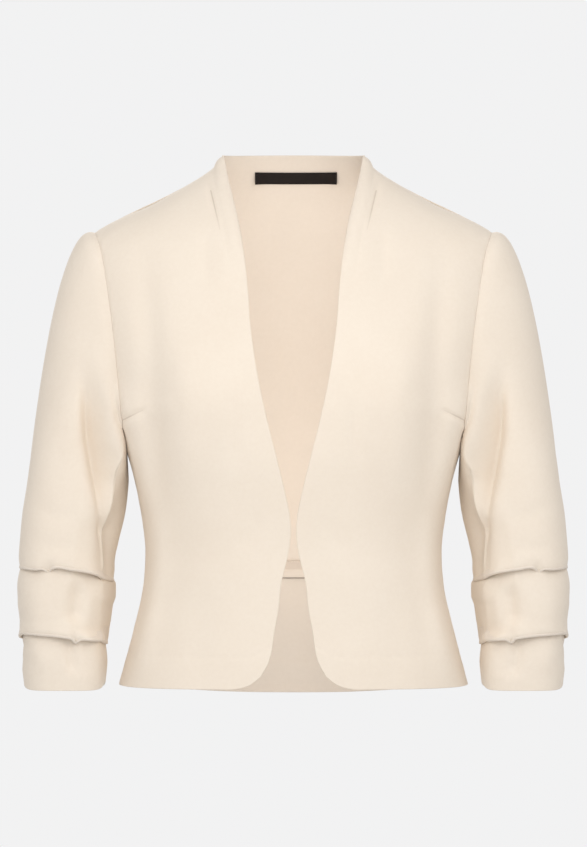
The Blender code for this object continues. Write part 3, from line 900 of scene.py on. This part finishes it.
def around_arm(panel):
    """Two numbers for every place: 1 outside to -1 inside, and 1 behind to -1 in front."""
    middle_x, middle_y, half, depth = arm_at(panel)
    return (abs(panel.x()) - middle_x) / half, (panel.points[:, :, 1] - middle_y) / depth


def frontness(panel):
    """1 on the front of the arm, 0 on its back, with a soft change at both sides."""
    return ease(0.5 - around_arm(panel)[1])


def on_stretch(out, level, stretch):
    """1 on the inner side of the arm along one stretch of it, 0 elsewhere."""
    below = ease((stretch.top - level) / stretch.top_fade)
    above = ease((level - stretch.foot) / stretch.foot_fade)
    return ease((stretch.side - out) / stretch.over) * below * above


def square_arm(panel, sign):
    """Fills the sleeve out at its corners, most at the upper arm's inner edge, least below the elbow."""
    out, back = around_arm(panel)
    middle_x, middle_y, _, _ = arm_at(panel)
    size = np.hypot(out, back)
    front = ease((FRONT_FROM - back) / FRONT_OVER)
    edge = on_stretch(out, panel.z(), INNER_EDGE)
    low = on_stretch(out, panel.z(), LOW_INSIDE)
    square = ARM_SQUARE + front * (EDGE_SQUARE * edge - LOW_ROUND * low)
    power = abs(out / size) ** square + abs(back / size) ** square
    grow = (power ** (-1 / square) - 1) * ease((panel.z() - SQUARE_FROM) / (SQUARE_TO - SQUARE_FROM))
    panel.points[:, :, 0] += grow * (panel.x() - sign * middle_x)
    panel.points[:, :, 1] += grow * (panel.points[:, :, 1] - middle_y)


# %% The front seam of the sleeve
LOW_SEAM = [(-510, 6), (-465, 6), (-455, 17), (-400, 17)]
SEAM_LEVELS = LOW_SEAM + [(-380, 24), (-350, 22), (-320, 14), (-290, 2), (-262, 0)]
SEAM_TURN_REACH = 0.7
RIDGE, RIDGE_WIDTH = 1.7, 2.4
RIDGE_TOP, RIDGE_TOP_FADE, RIDGE_FOOT, RIDGE_FOOT_FADE = -262, 20, -394, 15


def turn_seam(panel, sign):
    """Slides the front seam round the arm towards the body, with the cloth on both its sides."""
    out, back = around_arm(panel)
    middle_x, middle_y, half, depth = arm_at(panel)
    size, angle = np.hypot(out, back), np.arctan2(-out, -back)
    most = np.radians(np.interp(panel.z(), *zip(*SEAM_LEVELS)))
    turned = angle + most * bell(angle - angle[:, -1:], SEAM_TURN_REACH)
    panel.points[:, :, 0] = sign * (middle_x - half * size * np.sin(turned))
    panel.points[:, :, 1] = middle_y - depth * size * np.cos(turned)


def seam_ridge(panel):
    """The pressed seam stands up a little on the inside of the arm and catches the light."""
    below = ease((RIDGE_TOP - panel.z()) / RIDGE_TOP_FADE)
    above = ease((panel.z() - RIDGE_FOOT) / RIDGE_FOOT_FADE)
    return RIDGE * (below * above) * bell(panel.to["last"], RIDGE_WIDTH)


# %% Folds of the sleeves
ARM_FRONT = {
    "right": [
        Fold(
            pixels((89, 355), (94, 400), (98, 440), (105, 480), (111, 515), (112, 550), (110, 585)),
            9.5,
            -15.0,
        ),
        Fold(pixels((82, 350), (86, 400), (91, 440), (99, 480), (105, 515)), 17.0, -3.0),
        Fold(pixels((106, 372), (111, 405), (115, 440), (119, 475), (120, 512)), 10.0, 3.5),
        Fold(pixels((104, 258), (88, 300), (80, 352)), 15.0, -1.1),
        Fold(pixels((34, 500), (58, 516), (84, 512)), 9.0, -1.1),
        Fold(pixels((28, 538), (58, 547), (88, 545)), 8.0, -0.7),
        Fold(pixels((82, 580), (78, 602), (75, 628)), 9.5, -6.5),
        Fold(pixels((93, 585), (92, 605), (91, 630)), 6.0, 1.2),
        Fold(pixels((72, 634), (73, 652), (78, 676)), 6.5, -4.2),
        Fold(pixels((84, 640), (86, 656), (90, 676)), 6.0, -1.4),
        Fold(pixels((44, 586), (42, 606), (44, 630)), 12.0, 1.2),
        Fold(pixels((32, 640), (40, 652), (52, 672)), 8.0, 1.0),
    ],
    "left": [
        Fold(
            pixels((498, 353), (493, 400), (489, 441), (482, 481), (476, 516), (475, 550), (477, 585)),
            9.5,
            -15.0,
        ),
        Fold(pixels((505, 348), (501, 402), (496, 442), (488, 482), (482, 517)), 17.0, -3.0),
        Fold(pixels((481, 374), (476, 407), (472, 442), (468, 477), (467, 514)), 10.0, 3.5),
        Fold(pixels((484, 260), (499, 302), (506, 350)), 15.0, -1.1),
        Fold(pixels((552, 498), (528, 514), (503, 514)), 9.0, -1.1),
        Fold(pixels((558, 542), (528, 549), (500, 543)), 8.0, -0.7),
        Fold(pixels((505, 582), (509, 604), (512, 630)), 9.5, -6.2),
        Fold(pixels((494, 586), (495, 606), (496, 630)), 6.0, 1.2),
        Fold(pixels((515, 636), (514, 654), (509, 678)), 6.5, -4.2),
        Fold(pixels((503, 642), (501, 658), (497, 678)), 6.0, -1.4),
        Fold(pixels((543, 588), (545, 608), (543, 630)), 12.0, 1.2),
        Fold(pixels((555, 642), (547, 654), (535, 674)), 8.0, 1.0),
    ],
}
ARM_BACK = {
    "right": [
        Fold([(-262, -268), (-236, -290), (-206, -292)], 9.0, -3.4),
        Fold([(-266, -300), (-238, -316), (-204, -310)], 9.0, -3.8),
        Fold([(-268, -334), (-236, -340), (-206, -330)], 9.0, -2.8),
        Fold([(-196, -150), (-206, -200), (-204, -250)], 13.0, -2.6),
        Fold([(-230, -400), (-226, -425), (-232, -452)], 10.0, -2.6),
        Fold([(-248, -462), (-242, -478), (-238, -500)], 8.0, -1.6),
    ],
    "left": [
        Fold([(264, -262), (238, -286), (208, -290)], 9.0, -3.2),
        Fold([(267, -296), (240, -314), (206, -312)], 9.0, -3.9),
        Fold([(269, -330), (238, -341), (208, -334)], 9.0, -2.9),
        Fold([(198, -155), (207, -205), (205, -252)], 13.0, -2.6),
        Fold([(236, -400), (230, -424), (233, -452)], 10.0, -2.6),
        Fold([(246, -464), (240, -480), (239, -500)], 8.0, -1.6),
    ],
}

# %% [markdown]
# ## The tucks
# Down a sleeve the cloth runs to a tuck's folded edge, turns up behind it, turns again and comes out below.
# So the level of the rows turns twice at each tuck, and those turns tell which layer a row belongs to. Each
# tuck has two lists along the picture's pixels: how far its edge rises, and how far it stands off the
# cloth below. On the back of the arm it has a quieter pair of the same.

# %% How the tucks lie
Tuck = namedtuple("Tuck", "level slant rise gape back_rise back_gape tacks")
TUCKS = [
    Tuck(
        level=-392,
        slant=6,
        rise=[(19, -0.7), (30, 0.6), (40, 1.3), (51, 4.0), (61, 6.4), (72, 5.6), (84, 5.0), (92, 4.3),
              (100, 2.5), (108, -1), (116, -3)],
        gape=[(19, 0.5), (30, 1.8), (42, 1.6), (51, -0.6), (58, 1.6), (72, 2.0), (84, 3.2), (93, 4.6),
              (100, 3.6), (108, 1), (116, 0)],
        back_rise=[(19, -0.7), (36, 1.0), (55, 3.0), (70, 1.5), (90, 3.5), (108, 0), (116, -3)],
        back_gape=[(19, -0.5), (36, 1.8), (52, 0.4), (66, 2.6), (84, 0.5), (100, 2.0), (116, 0)],
        tacks=(51.0, 78.0),
    ),
    Tuck(
        level=-460,
        slant=3,
        rise=[(21, 0.5), (24, 3), (28, 5.7), (40, 6.1), (50, 6.1), (60, 5.9), (75, 4.8), (92, 4.1),
              (100, 3.7), (108, 0.5)],
        gape=[(21, 1.6), (24, 3.6), (31, 2.2), (40, 1.2), (52, 1.4), (62, 3.4), (71, 4.6), (79, 1.6),
              (88, 4.2), (96, 1.8), (101, 0.6), (106, 1.8), (110, 0.6)],
        back_rise=[(21, 0.5), (34, 3.5), (55, 4.5), (75, 2.5), (95, 3.5), (108, 0.5)],
        back_gape=[(21, 1.0), (34, 0.4), (52, 2.4), (68, 0.6), (84, 2.6), (98, 0.8), (110, 0.6)],
        tacks=(78.0, 60.0),
    ),
]
TUCK_REACH, GAPE_REACH = 24.0, 9.0
FOLD_THINNED, FOLD_TAPER = 2.2, 8.0
SINK_SHARE, SINK_REACH = 0.45, 10.0
TACK_WIDTH, TACK_REACH, TACK_DRAW, TACK_DROP = 2.9, 5.0, 3.0, 4.6
CUFF_HEM, CUFF_REACH, CUFF_CORNER_RISE, CORNER_POWER, FARTHEST_OUT = -508, 14, 8.0, 9, 1.05


def sleeve_pixel(panel):
    """The picture's pixel across the sleeve on its left, with the other sleeve mirrored to it."""
    return CENTRE_LINE - abs(panel.x())


def front_and_back(panel, front_list, back_list):
    """Reads one list on the front of the arm and the other on its back."""
    across, front = sleeve_pixel(panel), frontness(panel)
    ahead = np.interp(across, *zip(*front_list))
    behind = np.interp(across, *zip(*back_list))
    return ahead * front + behind * (1 - front)


def tuck_rows(panel):
    """For each tuck, the upper first, the row of its folded edge and of the fold hidden above it."""
    level = panel.z().mean(axis=1)
    rising = np.diff(level) > 0
    turns = [int(i) + 1 for i in np.flatnonzero(rising[1:] != rising[:-1])]
    lower_top, lower_edge, upper_top, upper_edge = turns
    return [(upper_edge, upper_top), (lower_edge, lower_top)]


def raise_tucks(panel):
    """Moves the tucks' folded edges up and down round the arm, and lifts the corners of the hem."""
    out = np.clip(around_arm(panel)[0], -FARTHEST_OUT, FARTHEST_OUT)
    rise = CUFF_CORNER_RISE * abs(out) ** CORNER_POWER * bell(panel.z() - CUFF_HEM, CUFF_REACH)
    for tuck in TUCKS:
        near = bell(panel.z() - tuck.level - tuck.slant * out, TUCK_REACH)
        rise += near * front_and_back(panel, tuck.rise, tuck.back_rise)
    return rise


def open_tucks(panel):
    """How far the tucks stand off, sink the cloth below them and are drawn in at their stitches."""
    lift, drop = np.zeros(panel.along.shape), np.zeros(panel.along.shape)
    for tuck, (edge, top) in zip(TUCKS, tuck_rows(panel)):
        run = panel.along - panel.along[edge]
        gape = front_and_back(panel, tuck.gape, tuck.back_gape)
        lift += gape * bell(run, GAPE_REACH)
        lift[edge:] -= FOLD_THINNED * bell(run[edge:], FOLD_TAPER)
        below = bell(panel.z()[edge] - panel.z(), SINK_REACH)
        lift[:top] -= (SINK_SHARE * gape * below)[:top]
        front_tack, back_tack = tuck.tacks
        across = sleeve_pixel(panel) - np.where(frontness(panel) > 0.5, front_tack, back_tack)
        tack = np.exp(-(across / TACK_WIDTH) ** 2 - (run / TACK_REACH) ** 2)
        lift -= TACK_DRAW * tack
        drop += TACK_DROP * tack
    return lift, drop


# %% Trim the sleeves' sides
Trim = namedtuple("Trim", "level outer inner")
CUFF_TRIM = [Trim(-500, 0, 0), Trim(-490, 0, 0), Trim(-480, -1.5, 0.5), Trim(-466, -1.5, 0.5),
             Trim(-458, 1.5, 1)]
TIER_TRIM = [Trim(-462, -2, -2), Trim(-454, -2.5, -2), Trim(-440, -2, 0), Trim(-424, 0, 1),
             Trim(-416, 0, 3.5), Trim(-401, 1, 4.5), Trim(-397, 1, 2), Trim(-392, 1, -2),
             Trim(-376, 0, -3)]
ARM_TRIM = [Trim(-399, -2, 0), Trim(-392, -2, -2), Trim(-380, -2, -2.5), Trim(-366, -1, -1),
            Trim(-330, 0, 0)]
TRIM_FROM, TRIM_OVER = 0.5, 0.4


def trim_sides(panel):
    """How far the outside and the inside of the arm move out, read for each layer of the tucked sleeve."""
    out = around_arm(panel)[0]
    (upper_edge, upper_top), (lower_edge, lower_top) = tuck_rows(panel)
    layers = [
        (0, lower_top, CUFF_TRIM),
        (lower_edge, upper_top, TIER_TRIM),
        (upper_edge, len(out), ARM_TRIM),
    ]
    shift = np.zeros(out.shape)
    known = []
    for first, last, trims in layers:
        levels, outers, inners = zip(*trims)
        outer = np.interp(panel.z()[first:last], levels, outers)
        inner = np.interp(panel.z()[first:last], levels, inners)
        weight = out[first:last]
        shift[first:last] = outer * ease((weight - TRIM_FROM) / TRIM_OVER)
        shift[first:last] += inner * ease((-weight - TRIM_FROM) / TRIM_OVER)
        known += range(first, last)
    hidden = [row for row in range(len(out)) if row not in known]
    for column in range(out.shape[1]):
        shift[hidden, column] = np.interp(hidden, known, shift[known, column])
    return shift


# %% Turn the inside of the arm to the light
INNER_ARM = Fold(pixels((123, 395), (124, 440), (121, 500), (114, 555)), 12.0, 9.0)
TIER_TURN, TIER_TURN_FROM, TIER_TURN_OVER = 26.0, 104.5, 9.0
TOP_HELD = 18.0


def forward_inside(panel):
    """How far the inside of the arm comes forward: flatter at the elbow, turned away in the tier."""
    forward = raise_fold(-abs(panel.x()), panel.z(), INNER_ARM) * frontness(panel)
    forward *= free_of_seam(panel, "top", TOP_HELD)
    (_, upper_top), (lower_edge, _) = tuck_rows(panel)
    turned = ease((sleeve_pixel(panel) - TIER_TURN_FROM) / TIER_TURN_OVER) * frontness(panel)
    forward[lower_edge:upper_top] -= TIER_TURN * turned[lower_edge:upper_top]
    return forward


# %% Set the sleeves into the armholes
SET_IN_REACH, SET_IN_MOST = 7.0, 12.0
UNDERARM, SHOULDER_TIP, ARMHOLE_SLACK = -270, -52, 3
HEAD_RISE, HEAD_SEAM, HEAD_REACH, HEAD_FROM, HEAD_FADE = 1.5, 6, 24.0, -105, 30


def armhole_steps(side):
    """Starts and ends of the short steps along the armhole of the finished front and back on one side."""
    column = 0 if side == "right" else -1
    lines = [pieces[name][1].points[:, column] for name in ("front_" + side, "back_upper")]
    steps = [np.stack([line[:-1], line[1:]]) for line in lines]
    starts, ends = np.concatenate(steps, axis=1)
    above = starts[:, 2] > UNDERARM - ARMHOLE_SLACK
    inside = above & (ends[:, 2] < SHOULDER_TIP + ARMHOLE_SLACK)
    return starts[inside], ends[inside]


def fill_head(panel):
    """The small fullness of the sleeve's head beside the shoulder seam."""
    gap = panel.to["top"]
    high = ease((panel.z() - HEAD_FROM) / HEAD_FADE)
    return HEAD_RISE * ease(gap / HEAD_SEAM) * bell(gap, HEAD_REACH) * high


def set_in(panel, side):
    """Moves the top of a sleeve to the armhole's own edge."""
    starts, ends = armhole_steps(side)
    top = panel.points[-1]
    run = ends - starts
    share = ((top[:, None] - starts) * run).sum(axis=2) / (run * run).sum(axis=1)
    feet = starts + np.clip(share, 0, 1)[:, :, None] * run
    nearest = np.linalg.norm(top[:, None] - feet, axis=2).argmin(axis=1)
    shift = feet[np.arange(len(top)), nearest] - top
    size = np.linalg.norm(shift, axis=1, keepdims=True)
    shift *= np.minimum(1, SET_IN_MOST / np.maximum(size, 1e-6))
    panel.points += shift[None] * bell(panel.to["top"], SET_IN_REACH)[:, :, None]
    print(panel.name, "set in by up to mm:", round(float(size.max()), 2))


# %% The sleeves
SLEEVE_SIDES = {"right": -1, "left": 1}
SLEEVE_HALVES = [("top_sleeve_", TOP_SLEEVE_PITCH, 0.9), ("under_sleeve_", FINE_PITCH, 4.1)]
for side, sign in SLEEVE_SIDES.items():
    for half, pitch, seed in SLEEVE_HALVES:
        panel = Panel(half + side, (sign * SLEEVE_AXIS, ARM_MIDDLE), FORWARD, pitch)
        turn_seam(panel, sign)
        front = frontness(panel)
        lift = fold_all(panel.x(), panel.z(), ARM_FRONT[side]) * front
        lift += fold_all(panel.x(), panel.z(), ARM_BACK[side]) * (1 - front)
        opened, drop = open_tucks(panel)
        opened += trim_sides(panel)
        dip = seam_dip(panel, ("first", "last"), seed + sign) + fill_head(panel) + seam_ridge(panel)
        rise = raise_tucks(panel) - drop
        forward = forward_inside(panel)
        square_arm(panel, sign)
        panel.points += panel.normals() * dip[:, :, None]
        panel.points += panel.away() * (lift + opened)[:, :, None]
        panel.points[:, :, 1] -= forward
        panel.points[:, :, 2] += rise
        close_seams(panel, ("first", "last"))
        set_in(panel, side)
        thickness = CLOTH + turned_edges(panel, ("bottom",))
        pieces[half + side] = (sew(panel, (cream_crepe, inside_cream), thickness), panel)

# %% [markdown]
# ## Inside the back
# A strip lies along the waist seam, its lower part folded double, and a small dark label is sewn in below the
# neck by its two ends. Both lie close on the back, whose cloth has moved a little from its solid. So straight
# lines are cast from the middle of the body, and a narrow grid is laid where they meet the back. The label
# stays blank.

# %% Finishes of the strip, the label and the thread
STRIP_TOP, STRIP_FOLD, STRIP_FOOT = -382.3, -391.4, -400.4
STRIP_FOLD_SOFT, STRIP_FOOT_SHADOW, STRIP_FOOT_SHADOW_CORE = 0.5, 0.9, 0.7
STRIP_DRIFT, STRIP_PEBBLE, STRIP_GRAIN, STRIP_ROUGHNESS = 30, 1400, 0.25, 0.8
STRIP_SHADED_PALE, STRIP_SHADED_DEEP = (0.72, 0.62, 0.53, 1), (0.67, 0.58, 0.49, 1)
LABEL_DARK, LABEL_LIT = (0.008, 0.006, 0.005, 1), (0.020, 0.015, 0.013, 1)
LABEL_RIBS, LABEL_PICKS, LABEL_FLECKS = 7500, 9000, 900
LABEL_ROUGHNESS, LABEL_GLOSS, LABEL_GRAIN, LABEL_DEPTH = 0.42, 0.12, 0.35, 0.0002
THREAD_PALE, THREAD_DEEP = (0.86, 0.77, 0.66, 1), (0.74, 0.64, 0.53, 1)
THREAD_DARK, THREAD_GREY = (0.016, 0.014, 0.014, 1), (0.045, 0.040, 0.040, 1)
THREAD_PLY, THREAD_ROUGHNESS, THREAD_GRAIN, THREAD_DEPTH = 2600, 0.5, 0.3, 0.0001


def make_strip():
    """The wrong side's crepe, with painted shade above the strip's fold and a painted shadow in the seam at
    its foot.
    """
    made, shader, place = start_finish("waist_strip")
    level = place.part(2) * (1 / MM)
    # Painted shade: above the fold, where the single layer lies lower, the colour goes to darker tones.
    above = level.ramp(STRIP_FOLD - STRIP_FOLD_SOFT, STRIP_FOLD + STRIP_FOLD_SOFT, 0.0, 1.0)
    # Painted shadow: along the strip's lower edge the colour goes to the shaded tone.
    seam = level.ramp(STRIP_FOOT + STRIP_FOOT_SHADOW * STRIP_FOOT_SHADOW_CORE, STRIP_FOOT + STRIP_FOOT_SHADOW, 1.0, 0.0)
    drift = noise(place, STRIP_DRIFT, 3.0)
    pale = drift.mixed(INSIDE_PALE, INSIDE_DEEP)
    colour = above.mixed(pale, drift.mixed(STRIP_SHADED_PALE, STRIP_SHADED_DEEP))
    link(seam.mixed(colour, INSIDE_SHADED), shader, "Base Color")
    pebble = noise(place, STRIP_PEBBLE, 3.0, 0.6)
    link(pebble * ROUGH_SPREAD + STRIP_ROUGHNESS, shader, "Roughness")
    emboss(pebble, shader, STRIP_GRAIN, GRAIN_DEPTH)
    shader.inputs["Specular IOR Level"].default_value = CLOTH_GLOSS
    return made


def threads(place, axis, scale):
    """Fine even ridges across one axis, from 0 to 1."""
    return place.maths("SINE", place.part(axis) * scale, 0.0) * 0.5 + 0.5


def make_label_satin():
    """A woven label: fine upright ribs with a painted highlight on them, a slight shine and a few paler
    threads.
    """
    made, shader, place = start_finish("label_satin")
    weave = threads(place, 0, LABEL_RIBS) * 0.6 + threads(place, 2, LABEL_PICKS) * 0.4
    flecks = noise(place, LABEL_FLECKS, 2.0)
    # Painted highlight: the ribs and picks mix the colour between a dark and a lit tone; the flecks vary it
    # at random.
    link((weave * 0.6 + flecks * 0.4).mixed(LABEL_DARK, LABEL_LIT), shader, "Base Color")
    link(flecks * 0.2 + LABEL_ROUGHNESS, shader, "Roughness")
    emboss(weave, shader, LABEL_GRAIN, LABEL_DEPTH)
    shader.inputs["Specular IOR Level"].default_value = LABEL_GLOSS
    return made


def make_thread(name, pale, deep):
    made, shader, place = start_finish(name)
    ply = noise(place, THREAD_PLY, 1.0)
    link(ply.mixed(pale, deep), shader, "Base Color")
    link(ply * 0.2 + THREAD_ROUGHNESS, shader, "Roughness")
    emboss(ply, shader, THREAD_GRAIN, THREAD_DEPTH)
    return made


waist_strip, label_satin = make_strip(), make_label_satin()
cream_thread = make_thread("cream_thread", THREAD_PALE, THREAD_DEEP)
dark_thread = make_thread("dark_thread", THREAD_DARK, THREAD_GREY)
print("finishes:", waist_strip.name, label_satin.name, cream_thread.name, dark_thread.name)

# %% Lay a narrow piece on the inside of the back
bpy.context.view_layer.update()
back = pieces["back_upper"][0]


def on_cloth(piece, start, aim):
    """Where a straight line first meets a piece, in metres, and the direction the cloth faces there."""
    found, point, facing, _ = piece.ray_cast(Vector(start), Vector(aim))
    return (point, facing) if found else None


class Patch(Panel):
    """A narrow piece of rows and columns, laid a little off the inside of the back."""

    def __init__(self, name, casts, gap):
        self.name = name
        self.axis = BODY_AXIS
        met = [[on_cloth(back, start, aim) for start, aim in row] for row in casts]
        self.points = np.array([[point / MM + facing * gap for point, facing in row] for row in met])
        self.measure()


# %% The waist strip
STRIP_TURN, STRIP_ROWS, STRIP_COLUMNS, STRIP_CAST_FOOT = math.radians(75), 13, 150, STRIP_FOOT + 1.8
STRIP_GAP, STRIP_THIN, STRIP_DOUBLE, STRIP_OVER = 0.4, 0.7, 1.0, 1.2
strip_casts = []
for level in np.linspace(STRIP_CAST_FOOT, STRIP_TOP, STRIP_ROWS):
    turns = np.linspace(-STRIP_TURN, STRIP_TURN, STRIP_COLUMNS)
    strip_casts.append([((0, 0, level * MM), (math.sin(turn), math.cos(turn), 0)) for turn in turns])
strip_panel = Patch("waist_stay", strip_casts, STRIP_GAP)
strip_panel.points[0, :, 2] = STRIP_FOOT
strip_doubled = ease((STRIP_FOLD - strip_panel.z()) / STRIP_OVER + 0.5)
strip_thickness = STRIP_THIN + STRIP_DOUBLE * strip_doubled
strip = sew(strip_panel, (waist_strip, waist_strip), strip_thickness)

# %% The label
LABEL_ENDS, LABEL_FOOT, LABEL_TOP = (-39.0, 44.0), -1.0, 10.1
LABEL_COLUMNS, LABEL_ROWS, LABEL_GAP, LABEL_THICK = 56, 9, 0.5, 0.7
CURL, CURL_DROP, CURL_REACH = 2.6, 0.7, 7.0
label_casts = []
for level in np.linspace(LABEL_FOOT, LABEL_TOP, LABEL_ROWS):
    places = np.linspace(*LABEL_ENDS, LABEL_COLUMNS)
    label_casts.append([((x * MM, 0, level * MM), (0, 1, 0)) for x in places])
label_panel = Patch("neck_label", label_casts, LABEL_GAP)
end = np.minimum(label_panel.to["first"], label_panel.to["last"])
curl = bell(end, CURL_REACH) * (1 - label_panel.along / label_panel.along[-1:])
label_panel.points[:, :, 1] -= CURL * curl
label_panel.points[:, :, 2] -= CURL_DROP * curl
label = sew(label_panel, (label_satin, label_satin), np.full(curl.shape, LABEL_THICK))

# %% [markdown]
# ## Stitches
# The strip is sewn along its upper edge, the label at its two ends, and each tuck is caught with a short bar
# of stitches. A stitch is a small egg of few faces, laid along the seam on whatever cloth is found there.

# %% Lay stitches on the cloth
Stitch = namedtuple("Stitch", "start aim lie")
STITCH_LONG, STITCH_THICK, STITCH_PROUD, BALL_RADIUS = 2.2, 0.5, 0.1, 0.5


def lay_stitches(name, piece, stitches, finish, long=STITCH_LONG):
    """One object of many stitches, each laid where its line meets the piece."""
    mesh = bmesh.new()
    laid = 0
    for stitch in stitches:
        met = on_cloth(piece, stitch.start, stitch.aim)
        if met is None:
            continue
        point, facing = met
        along = Vector(stitch.lie)
        along = (along - facing * along.dot(facing)).normalized()
        made = bmesh.ops.create_icosphere(mesh, subdivisions=1, radius=BALL_RADIUS * MM)["verts"]
        bmesh.ops.scale(mesh, verts=made, vec=(long, STITCH_THICK, STITCH_THICK))
        turn = along.to_track_quat("X", "Z").to_matrix()
        bmesh.ops.rotate(mesh, verts=made, cent=(0, 0, 0), matrix=turn)
        bmesh.ops.translate(mesh, verts=made, vec=point + facing * STITCH_PROUD * MM)
        laid += 1
    for face in mesh.faces:
        face.smooth = True
    data = bpy.data.meshes.new(name)
    mesh.to_mesh(data)
    mesh.free()
    data.materials.append(finish)
    made = bpy.data.objects.new(name, data)
    bpy.context.scene.collection.objects.link(made)
    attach(made, "root")
    print(name, "stitches:", laid)
    return made


# %% Stitches of the strip and the label
STRIP_STITCHES, STRIP_SEWN = 86, -383.8
LABEL_SEWN, LABEL_STITCHES, LABEL_STITCH_IN, LABEL_STITCH_LONG = 1.1, 5, 1.4, 1.7
bpy.context.view_layer.update()
strip_lines = []
for turn in np.linspace(-STRIP_TURN, STRIP_TURN, STRIP_STITCHES)[1:-1]:
    aim = (math.sin(turn), math.cos(turn), 0)
    strip_lines.append(Stitch((0, 0, STRIP_SEWN * MM), aim, (math.cos(turn), -math.sin(turn), 0)))
strip_stitches = lay_stitches("strip_stitches", strip, strip_lines, cream_thread)
label_lines = []
label_levels = np.linspace(LABEL_FOOT + LABEL_STITCH_IN, LABEL_TOP - LABEL_STITCH_IN, LABEL_STITCHES)
for x in (LABEL_ENDS[0] + LABEL_SEWN, LABEL_ENDS[1] - LABEL_SEWN):
    label_lines += [Stitch((x * MM, 0, z * MM), (0, 1, 0), (0, 0, 1)) for z in label_levels]
label_stitches = lay_stitches("label_stitches", label, label_lines, dark_thread, LABEL_STITCH_LONG)

# %% Bars that hold the tucks
BAR_STITCHES, BAR_SPREAD, BAR_RISE, BAR_LONG, BAR_FROM = 3, 0.6, 2.2, 3.0, 0.2
for side, sign in SLEEVE_SIDES.items():
    bars = []
    for tuck in TUCKS:
        for toward, across in zip((1, -1), tuck.tacks):
            x = sign * (CENTRE_LINE - across)
            for k in range(BAR_STITCHES):
                aside = (k - 1) * BAR_SPREAD
                start = ((x + aside) * MM, -BAR_FROM * toward, (tuck.level + BAR_RISE) * MM)
                bars.append(Stitch(start, (0, toward, 0), (0, 0, 1)))
    sleeve = pieces["top_sleeve_" + side][0]
    tuck_bars = lay_stitches("tuck_bars_" + side, sleeve, bars, cream_thread, BAR_LONG)

for name, (piece, panel) in pieces.items():
    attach(piece, "root")
    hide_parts(name)
    print(name, "cut (m):", [round(side, 3) for side in panel.flat], "area (m2):", round(panel.area, 4))

NARROW = [
    (strip, strip_panel, "inside_cream", strip_stitches),
    (label, label_panel, "label_black", label_stitches),
]
for piece, panel, slot, stitches in NARROW:
    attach(piece, "root")
    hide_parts(panel.name)
    print(panel.name, "cut (m):", [round(side, 3) for side in panel.flat])
